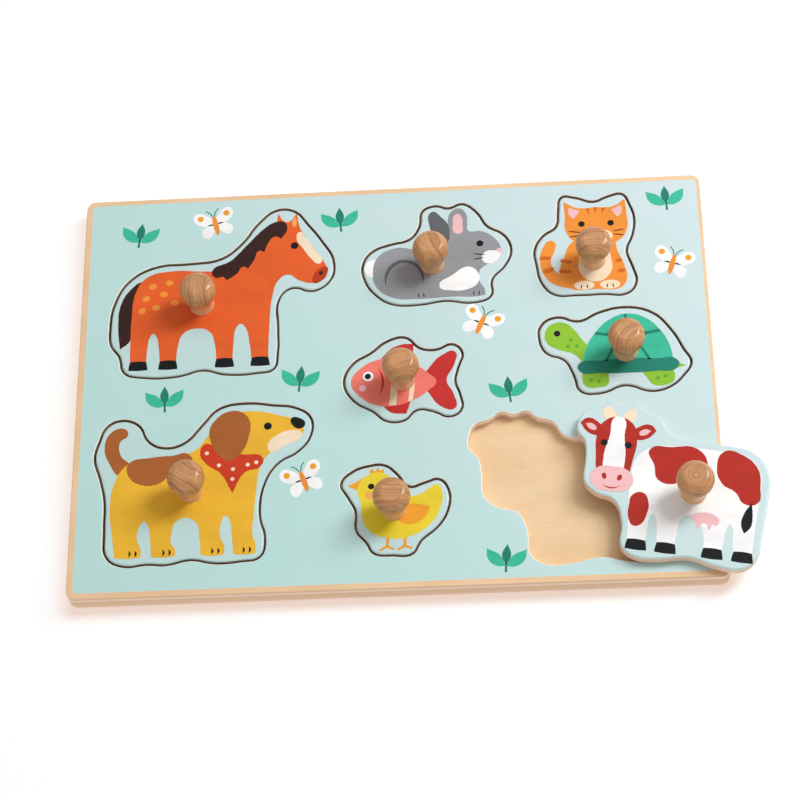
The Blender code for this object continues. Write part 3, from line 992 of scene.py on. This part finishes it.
def hoof(x, width=7.6, top=-27.2, low=-31.6):
    middle = (top + low) / 2
    return [
        tip(x, top), (x - 0.5, middle), tip(x - 0.7, low), (x + width / 2, low - 0.25),
        tip(x + width + 0.9, low), (x + width + 0.5, middle + 0.3), tip(x + width, top),
        (x + width / 2, top + 0.35),
    ]


def mirrored(points, axis=0.0):
    """The same shape on the other side of an upright line."""
    return [(2 * axis - x, y, *rest) for x, y, *rest in points]


def pair(ink, points, axis=0.0):
    """A patch and its mirror image across an upright line."""
    return [(ink, points), (ink, mirrored(points, axis))]


def whole(half, axis):
    """A closed outline whose other half is the mirror image of the given one."""
    return half + [point for point in mirrored(half, axis)[::-1] if point[0] != axis]


print("points round an eye:", len(disc(0, 0, 1)))

# %% Lay a drawing down in films of ink
FILM = 0.03 * MM
BRUSH_STEP = 0.45 * MM
BRUSH_JAG = 0.11 * MM
BRUSH_WAVE = 1.1 * MM
BRUSHED_SIZE = 12 * MM
DRAWINGS = {}


def brushed(line):
    """A large patch's outline with the small unevenness that a screen or a brush leaves."""
    closed = np.vstack([line, line[:1]])
    walked = np.concatenate([[0], np.cumsum(np.linalg.norm(np.diff(closed, axis=0), axis=1))])
    stops = np.arange(0, walked[-1] - BRUSH_STEP / 2, BRUSH_STEP)
    even = np.stack([np.interp(stops, walked, closed[:, axis]) for axis in (0, 1)], axis=1)
    jag = [noise.noise(Vector((x, y, 0)) / BRUSH_WAVE) * BRUSH_JAG for x, y in even]
    return even + outward(even) * np.array(jag)[:, None]


def print_films(name, drawings):
    """One object from drawings: a film for each patch, and a slot for each ink that is used."""
    body = bmesh.new()
    used = []
    for passes in drawings:
        for level, patches in enumerate(passes, start=1):
            for ink, points in patches:
                if ink not in used:
                    used.append(ink)
                line = anticlockwise(smooth_line(points) * MM)
                if np.ptp(line, axis=0).max() > BRUSHED_SIZE:
                    line = brushed(line)
                film = [(0.0, 0.0), (0.0, level * FILM)]
                add_flat(body, [(line, film)], slot=used.index(ink), closed=False)
    return finish_piece(name, body, [inks[ink] for ink in used], weighted=False)


def count_patches(*names):
    print("patches:", {name: sum(len(patches) for patches in DRAWINGS[name]) for name in names})


print(f"a film of ink: {FILM / MM:.2f} mm")

# %% [markdown]
# ## Horse and dog
#
# The large animals stand side-on. Body, neck and legs are one coat in one pass, because ink patches
# that only meet would show a gap, and the notches between the legs stay free of ink. The tail is
# printed first so that the coat covers its root. Spots, mane, hooves and collar come after it.

# %% Draw the horse
DRAWINGS["horse"] = [
    [("dark", [
        (-28, 16), (-34.3, 12.4), (-38.7, 4.4), (-39.6, -7), tip(-38.2, -20), (-33.8, -16),
        (-31, -3), (-27, 10),
    ])],
    [("chestnut", [
        (-31.9, 10), (-27, 18.4), (-14, 21.7), (1, 20.8), (12, 21.5), (21, 29), (30, 40.5),
        (35.2, 44), tip(36.8, 51.4), (41.3, 46.4), tip(46, 51), (47.4, 43.5), (50.5, 37.2),
        (55.5, 29), (60, 22), (61, 17), (58.3, 12.9), (53.5, 11.8), (47.5, 13.6), (42, 17),
        (37.6, 14.5), (34.6, 6), (33.4, -8), tip(32.9, -30.5), tip(25.3, -30.5), (23.8, -18.5),
        (21.9, -11), (19.6, -8.8), (17.4, -11), (16.3, -18.5), tip(15.9, -30.5), tip(8.3, -30.5),
        (7.3, -19), (4.6, -12.3), (-2, -10.3), (-7.8, -12.6), (-10.4, -20), tip(-11.1, -30.5),
        tip(-18.7, -30.5), (-19.6, -19.5), (-21, -13.6), (-22.5, -12.2), (-24, -14), (-25, -20),
        tip(-25.4, -30.5), tip(-33, -30.5), (-33.3, -18), (-33.2, -3),
    ])],
    [
        ("dark", [
            (5, 20.5), (14, 26), (22.5, 35.2), (29.8, 43), (35.2, 46.6), (40, 46.4), (41.3, 42.5),
            tip(38.5, 37.2), (35.3, 38.6), (32, 34.8), tip(30.3, 30.2), (27.8, 31), (25.5, 26.2),
            tip(22.6, 21.4), (20.2, 22.6), (17, 18.6), tip(12.2, 15.4), (10.4, 17.4), (7, 17),
        ]),
        ("cream", [
            (47.3, 40.5), (50.2, 37.6), (55.2, 29.3), (58.5, 24), (56.8, 22.3), (53.5, 25),
            (49, 31.5), (46, 37),
        ]),
        ("rust", [(60.6, 20.6), (61, 17), (58.3, 12.9), (54.4, 11.9), (54, 15.5), (57, 19.3)]),
        *[("ink", hoof(x)) for x in (-33, -18.7, 8.3, 25.3)],
        *[("orange", oval(x, y, 1.9, 1.5, turn)) for x, y, turn in (
            (-23.5, 13.5, 10), (-18, 9, 0), (-26.5, 7, 20), (-15.5, 15.2, 0), (-21.5, 2, 0),
            (-28.2, 0.4, 30), (-12.5, 4.2, 0),
        )],
    ],
    [
        ("ink", disc(45, 33, 1.85)),
        ("dark", oval(57.9, 17.1, 1.15, 0.85, 50)),
        ("apricot", [tip(45.5, 49.2), (45.9, 46), (45.2, 43.6), (43.7, 46)]),
    ],
]
count_patches("horse")

# %% Draw the dog
DRAWINGS["dog"] = [
    [("tan", [
        (-31, 12), (-37.5, 19), (-40, 27.5), (-37, 35), (-30.5, 36.3), (-29.3, 32.8), (-32.6, 30),
        (-32.3, 23), (-27, 16),
    ])],
    [("mustard", [
        (-34.5, 9), (-29, 17.8), (-18, 21), (-7, 21.8), (2, 23.5), (8, 30.5), (13.5, 38.5),
        (21, 42.4), (32, 42.8), (42, 40.3), (50, 37.5), (53.3, 33), (51, 27.8), (44, 24.5),
        (37.5, 21), (33.2, 14), (31.6, 3), (30.6, -10), (30.2, -20), (31.8, -25),
        tip(31.6, -28.8), (26, -29.4), tip(21.6, -28.8), (20.6, -19), (19.4, -11.6),
        (17.6, -9.8), (16, -12), (15.4, -20), (17.4, -25), tip(17.3, -28.8), (12, -29.4),
        tip(6.6, -28.8), (5.8, -19.5), (4, -12.4), (-1, -10), (-5, -11.6), (-7.2, -18), (-7, -23),
        (-5.2, -25.6), tip(-5.2, -28.8), (-10.5, -29.4), tip(-16.2, -28.8), (-16.9, -20),
        (-18.2, -13.2), (-20, -11.2), (-22, -13.6), (-23, -20), (-21, -25), tip(-21, -28.8),
        (-27, -29.4), tip(-33, -28.8), (-34.6, -18), (-36.2, -4),
    ])],
    [
        ("tan", [
            (-28.5, 18.1), (-18, 21), (-7, 21.8), (-1.2, 22.6), (1.8, 17.4), (-1.6, 12.5),
            (-8.5, 11.6), (-14, 7.5), (-22.4, 7.4), (-28, 11.8),
        ]),
        ("red", [
            (7.4, 27), (14.4, 23.2), (25, 21), (34.4, 18.8), (32.8, 14), (26.5, 12),
            tip(20.5, 1.5), (14.6, 11.8), (8.4, 16.4), (5, 22),
        ]),
        ("cream", [
            (38.2, 21.6), (44, 24.5), (51, 27.8), (52.6, 30.8), (47, 32.4), (40.6, 30),
            (36.6, 25.4),
        ]),
        *[("ink", [tip(x, -25.3), (x + 0.1, -27), tip(x, -28.8), (x + 1.1, -27)])
          for x in (-26.6, -23.8, -11, -8.2, 11.4, 14.2, 25.8, 28.6)],
    ],
    [
        ("tan", [
            (11.5, 38.8), (17, 43), (24, 42.8), (28, 38), (27.6, 30), (24, 21.5), (19, 18),
            (13.8, 21), (9.8, 28.5), (9.3, 34.5),
        ]),
        ("ink", [(47.6, 38.6), (51.6, 38.4), (54, 35.8), (52, 33.2), (48.4, 34.6)]),
        ("ink", disc(36.5, 35, 1.85)),
        *[("cream", disc(x, y, 0.95)) for x, y in (
            (8.2, 22.2), (14, 15.8), (20.4, 8.6), (20.6, 13.6), (27.4, 15.6), (31.4, 16.6),
        )],
    ],
]
count_patches("dog")

# %% [markdown]
# ## Rabbit and cat
#
# The small animals sit. The rabbit is one low coat with its far ear and tail printed first. The cat
# faces the child, so its head is a patch of its own over the body, and the stripes are short strokes
# that follow the round of the back and the tail.

# %% Draw the rabbit
DRAWINGS["rabbit"] = [
    [
        ("white", disc(-25, 1.8, 4.9)),
        ("slate", [
            (12.5, 18), (10, 12.6), (6, 14), (3.4, 19), (1.6, 25.6), (1.6, 30.6), (3.8, 32.2),
            (7.2, 29.4), (11.2, 24),
        ]),
    ],
    [("grey", [
        (-25.8, 0), (-23.2, 8.2), (-15, 12.6), (-4, 11.4), (5, 12.4), (10.5, 15), (11.6, 20),
        (10.8, 27), (13, 32.2), (16.8, 33.4), (19.6, 30.4), (20.2, 24.6), (20.4, 20.8), (27, 20),
        (33.4, 15.6), (36, 9.4), (34.4, 4.4), (29, 1.4), (25.6, -1.6), (25.4, -7.5), (27.6, -12),
        tip(28, -15.2), (22, -15.9), (13.6, -15.4), (6, -15.6), (-5, -15.9), (-17, -14.4),
        (-24.2, -8.4),
    ])],
    [
        ("pink", [(14.2, 19.6), (13.2, 25), (14.8, 30.2), (17, 29.4), (17.9, 24), (17.4, 19.8)]),
        ("white", [(28.4, 8.4), (32.4, 9), (35.6, 8), (34.6, 4.4), (30, 1.9), (26.8, 4.4)]),
        ("white", [
            (6, -9.4), (12.4, -3.6), (20.6, 0.6), (24.9, -3.4), (24.8, -8), (20.4, -11.4),
            (12, -12),
        ]),
        ("slate", [
            tip(-19.8, -8), (-20, -2), (-16.6, 3.8), (-11, 6), (-5.2, 4), (-1.8, -1),
            tip(-1.4, -7.6), (-3.2, -1.4), (-6.2, 2.6), (-11, 4.2), (-15.6, 2.4), (-18.6, -2.2),
        ]),
    ],
    [
        ("ink", disc(26, 13.2, 1.65)),
        ("pink", oval(35.3, 9, 1.5, 1.15)),
        *[("ink", stroke(*spot)) for spot in (
            (25.6, 7.2, 5.4, -8), (25.2, 4.9, 5, 10), (22.4, -14, 2.2, 80), (24.9, -14, 2.2, 80),
            (-1.5, -14, 2.2, 100), (-4, -14, 2.2, 100),
        )],
    ],
]
count_patches("rabbit")

# %% Draw the cat
CAT_FACE_MIDDLE = 4
CAT_BARS = (
    ((-14.2, 2.6), (-11, 2.9), (-8.6, 1.4), (-11, 1.1)),
    ((-15, -3.2), (-11.6, -2.4), (-9, -4), (-11.8, -4.4)),
    ((15.5, 1.6), (13.6, 2.4), (12.2, 1.2), (13.8, 0.6)),
    ((16.6, -4), (14.4, -3), (12.8, -4.4), (14.8, -5.2)),
    ((-24, 4.4), (-21, 5.4), (-18.4, 4.4), (-21, 3.4)),
    ((-22.6, -3.2), (-20, -1.2), (-17.2, -1.4), (-19.6, -3.6)),
)


def brow_mark(x, y, width, lean):
    """One of the three pointed strokes on the cat's brow."""
    return [
        tip(x - width, y), (x, y + 0.3), tip(x + width, y), (x + 0.6 * lean, y - 3),
        tip(x + 0.9 * lean, y - 5.4), (x - 0.2 + 0.6 * lean, y - 3),
    ]


DRAWINGS["cat"] = [
    [("orange", [
        (-9, -11.6), (-16, -11), (-21.6, -6), (-23.8, 2), (-22, 10.5), (-18.6, 14), (-16.2, 12.6),
        (-16.4, 8.6), (-18.6, 2.6), (-16.6, -3), (-11, -5.5), (-6, -5),
    ])],
    [("orange", [
        (-8, 12.5), (-12, 5), (-14.6, -3), (-13.6, -10), (-8.6, -13.4), (3, -13.6), (14, -13.3),
        (17.2, -8.6), (16, 0), (13.4, 7), (12, 12.5), (2, 15),
    ])],
    [
        ("orange", [
            tip(-11.2, 35.2), (-10.9, 27), (-11, 20), (-7.6, 13.6), (-1, 10.6), (4, 10),
            (10, 10.8), (16, 14), (19, 20), (18.9, 27), tip(18.4, 35.6), (12.8, 31.8),
            (8.6, 31.3), (4, 31.6), (-0.6, 31.2), (-5, 31.6),
        ]),
        ("cream", [(-2.6, 9), (-5, 3), (-4.6, -5), (2.6, -9.6), (9.6, -5), (10.2, 3), (8, 9)]),
        ("cream", oval(-3.2, -11.4, 4.8, 2.4)),
        ("cream", oval(9, -11.4, 4.8, 2.4)),
        *[("amber", bar) for bar in CAT_BARS],
    ],
    [
        ("pink", [tip(-9, 31.9), (-8.8, 27.6), tip(-6.6, 25.4), tip(-3.6, 29.8)]),
        ("pink", [tip(16.4, 32.2), (16.5, 28), tip(14.4, 25.6), tip(11.4, 29.8)]),
        ("cream", [
            (-3.6, 15.4), (-0.8, 12), (4, 11.2), (8.8, 12), (11.6, 15.4), (8, 18.8), (4, 18.2),
            (0, 18.8),
        ]),
        ("amber", brow_mark(4, 31.2, 1, 0)),
        ("amber", brow_mark(0.2, 30.8, 0.9, 1)),
        ("amber", brow_mark(7.8, 30.8, 0.9, -1)),
    ],
    [
        *pair("ink", disc(-3, 22.4, 1.55), CAT_FACE_MIDDLE),
        ("rust", [tip(2.1, 18), (4, 18.5), tip(5.9, 18), (4, 15.6)]),
        ("rust", [tip(3.7, 16), tip(3.7, 13.8), tip(4.3, 13.8), tip(4.3, 16)]),
        *[("dark", stroke(*spot)) for spot in (
            (-6.6, 18.2, 5.8, -9), (-6.4, 15.8, 5.4, 9), (14.6, 18.2, 5.8, 9), (14.4, 15.8, 5.4, -9),
            (-4.6, -12.1, 2.2, 80), (-1.8, -12.1, 2.2, 100), (7.6, -12.1, 2.2, 80),
            (10.4, -12.1, 2.2, 100),
        )],
    ],
]
count_patches("cat")

# %% [markdown]
# ## Turtle, fish and chick
#
# These three are made of plain forms: a dome over a band, a pointed oval with fins behind it, and a
# round body with a wing. The turtle's shell is a dome with a hexagon of lines, made by printing a
# dark hexagon and a smaller light one over it.

# %% Draw the turtle
SHELL_MIDDLE = 3
DRAWINGS["turtle"] = [
    [
        ("lime", [
            (-15, -5), (-22.4, 0.6), (-29, 3), (-34.4, 6.8), (-35, 12.6), (-31, 17), (-25, 16.8),
            (-20.6, 12.4), (-16.4, 6), (-11, 2),
        ]),
        ("lime", [
            (-17, -8), (-18.6, -13.6), (-17, -17), (-11, -17.6), (-7, -16.4), (-6.4, -11),
            (-6, -8),
        ]),
        ("lime", [
            (9.6, -8), (11.6, -14), (14, -17.2), (20, -17.6), (24, -15), (23.6, -9), (22.6, -6),
        ]),
        ("lime", [tip(21, -3.6), (26, -6), tip(30, -8), (25, -9), tip(21, -9)]),
    ],
    [("teal", [
        tip(-18, -6), (-16.2, 3), (-11.4, 11.4), (-4.6, 18), (3.6, 20.8), (12, 18.4), (18.6, 12),
        (22.8, 3.6), tip(24.4, -6), (3, -4.6),
    ])],
    [
        ("deep", [
            (-20.2, -5.2), (-10, -3.6), (3, -3), (16, -3.6), (26.4, -5.2), (25.6, -9),
            (16, -10.2), (3, -10.6), (-10, -10.2), (-19.6, -9),
        ]),
        ("deep", whole([tip(-2.8, 16.2), tip(-6.6, 10), tip(-2.8, 3.8)], SHELL_MIDDLE)),
        ("deep", [tip(-6, 10.7), tip(-11.2, 11.6), tip(-12.1, 10.2), tip(-6, 9.3)]),
        ("deep", [tip(12, 10.7), tip(18.4, 12), tip(19.4, 10.5), tip(12, 9.3)]),
        *pair("deep", [tip(-2, 4.3), tip(-6.4, -4), tip(-8, -4), tip(-3.2, 4.6)], SHELL_MIDDLE),
        ("deep", [tip(2.2, 15.6), tip(2.4, 20.5), tip(3.8, 20.6), tip(3.8, 15.6)]),
    ],
    [
        ("teal", whole([tip(-1.9, 14.8), tip(-4.8, 10), tip(-1.9, 5.2)], SHELL_MIDDLE)),
        ("ink", disc(-29.4, 11.6, 1.5)),
        *[("moss", disc(x, y, 0.9)) for x, y in (
            (-23, 8), (-20.4, 4.6), (-24.6, 4.6), (-14.6, -13.6), (-11, -14.4), (16.4, -13.8),
            (20, -13),
        )],
    ],
]
count_patches("turtle")

# %% Draw the fish and the chick
DRAWINGS["fish"] = [
    [
        ("crimson", [(-9, 10), (-6, 16.4), (0, 20), tip(6.6, 20.4), (6.2, 14), (6, 8), (-2, 7)]),
        ("crimson", [(-8, -9), (-5.6, -14.6), tip(2.6, -16.4), (4, -12), (5, -7), (-2, -6)]),
        ("crimson", [
            (11, 1), (14.6, 8.6), (20.6, 14.2), (26, 15.4), (25.6, 8.8), (21.8, 0.4), (25, -7),
            (25.4, -14.4), (19.6, -13.6), (14, -7),
        ]),
    ],
    [("coral", [
        (-23.2, 1), (-19, 8), (-11, 12.4), (-2, 13), (7, 9.4), (13.4, 4.4), (17, 0), (13.4, -4.4),
        (7, -8.8), (-2, -11.8), (-11, -11.4), (-19, -6.4),
    ])],
    [
        ("cream", [
            tip(-5.4, 12.9), (-3.6, 12.8), tip(-2, 12.7), (-1, 0), tip(-2, -11.5),
            (-3.6, -11.6), tip(-5.4, -11.6), (-4.4, 0),
        ]),
        ("cream", [
            tip(3.6, 10.8), (4.6, 10.4), tip(5.8, 9.9), (6.8, 0), tip(5.8, -9.2), (4.6, -9.8),
            tip(3.6, -10.1), (4.6, 0),
        ]),
        ("crimson", [
            tip(-10.4, 8.6), (-8, 4), (-7.8, -1.4), tip(-10, -6.4), (-8.8, -1.2), (-9, 4),
        ]),
        ("white", disc(-15, 4, 2.5)),
    ],
    [("ink", disc(-15.2, 4, 1.45)), ("pink", disc(-17.6, -2.2, 1.7))],
]
DRAWINGS["chick"] = [
    [
        ("gold", [
            tip(-2.5, -9), tip(-3.2, -14.7), tip(-6.4, -16.7), tip(-5.9, -17.5),
            tip(-2.5, -15.7), tip(0.4, -16.9), tip(0.8, -16), tip(-1.9, -14.7), tip(-1.1, -9),
        ]),
        ("gold", [
            tip(5.1, -9), tip(4.8, -14.7), tip(1.9, -16.5), tip(2.4, -17.3), tip(5.7, -15.7),
            tip(8.8, -16.9), tip(9.2, -16), tip(6.2, -14.7), tip(6.5, -9),
        ]),
        ("gold", [tip(-20.6, 15.6), (-17, 17.2), tip(-13, 19.6), tip(-12.6, 12.2), (-17, 13.8)]),
        ("gold", [
            tip(-9.6, 20.6), (-10.2, 23), tip(-8.8, 23.9), (-7.9, 22.6), tip(-6.4, 25),
            (-5.4, 23), tip(-3.8, 23.7), (-3.6, 22), tip(-3.4, 19.6),
        ]),
    ],
    [("yellow", [
        (-14.6, 8), (-16, 13), (-13.6, 18.6), (-7.4, 22), (-1, 19.6), (2.4, 14), (4.4, 10.6),
        (11, 9.6), (17, 13), (20.6, 15), (22.8, 11.6), (22, 3.4), (17, -5), (7.4, -10.6),
        (-3, -10.8), (-11.6, -6), (-14, 1),
    ])],
    [
        ("gold", [(1.6, 4.6), (8.4, 5.8), tip(17.4, 4), (14.6, -1.6), (8.6, -4.6), (3, -2.6)]),
        ("ink", disc(-9.6, 15, 1.45)),
        ("apricot", disc(-10.6, 10.4, 1.9)),
    ],
]
count_patches("fish", "chick")

# %% [markdown]
# ## Cow
#
# The cow looks at the child while its body stands side-on, so the head is a picture of its own in
# front. Its two halves match, which lets the ear, the horn and the eye be drawn once and mirrored
# across the middle of the face. The white coat goes down first and the brown patches over it.

# %% Draw the cow
COW_FACE_MIDDLE = -37.5
COW_HORN = [(-42.6, 31), (-45.2, 34.4), tip(-44.2, 38.6), (-40.4, 36.4), (-39, 32.4)]
COW_EAR = [(-43.5, 25), (-47, 29.6), (-52, 31.2), tip(-55, 28.4), (-51.4, 24.2), (-46, 23)]
COW_INNER_EAR = [(-47.4, 25.8), (-49.6, 28.6), tip(-52.6, 28.2), (-50, 25.6)]
DRAWINGS["cow"] = [
    [("white", [
        (-29, 3), (-27.4, 14), (-20, 20.4), (-6, 21.8), (10, 22.2), (22, 20.8), (28.6, 13.4),
        (29.3, 1), (28.9, -12), tip(28.6, -30), tip(20.4, -30), (19.4, -19), (18.6, -14.2),
        (17.4, -13.4), (16.4, -15.4), (15.6, -22), tip(15.2, -30), tip(7, -30), (5.8, -18),
        (1, -11.4), (-3.6, -12.6), (-5.4, -20), tip(-5.6, -30), tip(-13.8, -30), (-14.6, -19.4),
        (-15.8, -14), (-17.2, -12.8), (-18.4, -15), (-18.8, -21), tip(-18.9, -30), tip(-27, -30),
        (-27.8, -16), (-28.8, -4),
    ])],
    [
        ("brick", [
            (-22, 18.8), (-12, 21.3), (-1, 22), (4.6, 15.4), (2.4, 8), (-4.4, 7.6), (-9.6, 3),
            (-17, 4.6), (-19, 11),
        ]),
        ("brick", [
            (11.6, 22.2), (20, 21.4), (27.4, 15.4), (29.3, 6), (28.8, -1.6), (22.8, -2.6),
            (18.6, 2.4), (12.2, 6), (9, 13.6),
        ]),
        ("brick", [
            (-27.2, -4.6), (-22.6, -3), (-19.6, -7.4), (-19.8, -13.4), (-21.8, -18.4),
            (-25.2, -19.6), (-27.6, -16.4), (-28.2, -10),
        ]),
        ("pink", [
            (0, -11.8), (3.6, -9.4), (9, -9.4), (12.6, -12), (11.4, -15), (10, -14.4),
            (8.6, -17), (7.2, -14.6), (5, -14.6), (3.8, -17), (2.4, -14.6),
        ]),
        *[("ink", hoof(x, 8.1, -26.2, -30.9)) for x in (-27, -13.8, 7, 20.4)],
        *pair("cream", COW_HORN, COW_FACE_MIDDLE),
        *pair("brick", COW_EAR, COW_FACE_MIDDLE),
    ],
    [
        ("brick", whole([
            (-37.5, 33.4), (-44, 30.6), (-46.6, 24), (-46, 13), (-43.6, 3), (-37.5, -1),
        ], COW_FACE_MIDDLE)),
        *pair("pink", COW_INNER_EAR, COW_FACE_MIDDLE),
        ("ink", [
            tip(26.2, -1.6), (22.8, -8.8), (22.6, -13.6), tip(24.2, -17), (26.8, -13.6),
            (27.2, -8.8),
        ]),
    ],
    [("white", whole([
        (-37.5, 33.4), (-39.6, 33), (-40.8, 24), (-42.4, 12), (-41, 6),
    ], COW_FACE_MIDDLE))],
    [
        ("pink", whole([
            (-37.5, 8.2), (-44, 7.2), (-47.4, 2.6), (-45, -2.6), (-37.5, -4.2),
        ], COW_FACE_MIDDLE)),
        *pair("ink", disc(-43, 19.6, 1.6), COW_FACE_MIDDLE),
    ],
    [
        *pair("brick", oval(-41, 3, 1.05, 1.6, 15), COW_FACE_MIDDLE),
        ("rust", [tip(-42, -1.2), (-37.5, -2.9), tip(-33, -1.2), (-37.5, -2.2)]),
    ],
]
count_patches("cow")

# %% [markdown]
# ## Print the animals
#
# Each drawing becomes one piece that rides with its plate. The drawings are measured from a point
# near the animal's middle, and the knob stands at a known offset from it, so the knob in the frame
# gives the drawing its place. The loose cow lies turned, and its drawing turns with it.

# %% Print each animal on its plate
KNOB_OFFSETS = {
    "horse": (0.7, 2.4), "rabbit": (2.8, 3.1), "cat": (1.7, 2.5), "turtle": (2.3, 1.1),
    "fish": (1.1, 1.5), "dog": (1.1, 3.3), "chick": (0.6, 3.3), "cow": (0.0, 0.0),
}
LOOSE_COW_TURN = -10


def placed(passes, x, y, turn, size=1.0):
    """A drawing turned and scaled about its own origin, then moved, in millimetres and degrees."""
    tilt = Quaternion((0, 0, 1), math.radians(turn))

    def moved(point):
        spot = tilt @ Vector((point[0], point[1], 0)) * size
        return (spot.x + x, spot.y + y, *point[2:])

    return [[(ink, [moved(point) for point in points]) for ink, points in layer] for layer in passes]


for name in ANIMALS:
    x, y = KNOB_OFFSETS[name]
    turn = LOOSE_COW_TURN if name == "cow" else 0
    picture = print_films(name + "_print", [placed(DRAWINGS[name], -x, -y, turn)])
    knob = knobs[name].location
    picture.location = (knob.x, knob.y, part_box(name + "_plate")[1].z)
    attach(picture, name)
    print(f"{name}: {len(picture.data.materials)} inks, {len(picture.data.vertices)} points")

# %% [markdown]
# ## Print the board
#
# Small butterflies and sprouts fill the space between the animals. They are the same two motifs,
# turned a little differently at each spot, as a repeated stamp would be. The two halves of each one
# match, so one wing and one leaf are drawn and mirrored.

# %% Print the butterflies and the sprouts
UPPER_WING = [(0.5, 0.4), (2.4, 4.8), (6.4, 6.9), (8.2, 4.4), (6.6, 1.4), (2.6, 0.0)]
LOWER_WING = [(0.6, 0.0), (4.6, -0.4), (6.4, -2.8), (5.0, -5.6), (2.4, -4.6)]
FEELER = [tip(0.1, 4.0), (1.0, 6.0), tip(2.5, 7.4), tip(2.8, 7.1), (1.4, 5.8), tip(0.5, 3.9)]
LEAF = [tip(0.2, -2.6), (2.4, 1.6), tip(7.6, 4.2), (6.8, -0.2), (3.2, -2.8)]
MIDDLE_LEAF = [tip(0.0, -2.4), (1.7, 1.8), tip(0.2, 6.2), (-1.7, 1.8)]
STEM = [tip(-0.45, -5.2), tip(0.45, -5.2), tip(0.4, -1.4), tip(-0.4, -1.4)]
BUTTERFLY = [
    [*pair("white", UPPER_WING), *pair("white", LOWER_WING), *pair("deep", FEELER)],
    [("orange", oval(0, -0.4, 1.1, 4.6)), *pair("gold", disc(5.4, 4.2, 1.25))],
]
SPROUT = [
    [("deep", STEM), ("deep", MIDDLE_LEAF)],
    pair("teal", LEAF),
]
MOTIF_SIZE = 1.2
BUTTERFLY_SPOTS = ((-86, 89, 14), (134, 56, -18), (42, 28, -24), (-42, -50, 20))
SPROUT_SPOTS = (
    (-123, 84, -6), (-25, 88, 5), (133, 92, 4), (-44, 2, -5), (54, -8, 6), (-108, -6, 3),
    (50, -93, -4),
)

motifs = [placed(BUTTERFLY, *spot, MOTIF_SIZE) for spot in BUTTERFLY_SPOTS]
motifs += [placed(SPROUT, *spot, MOTIF_SIZE) for spot in SPROUT_SPOTS]
meadow = print_films("board_print", motifs)
meadow.location.z = BOARD_TOP
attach(meadow, "board")
print("motifs on the board:", len(motifs))
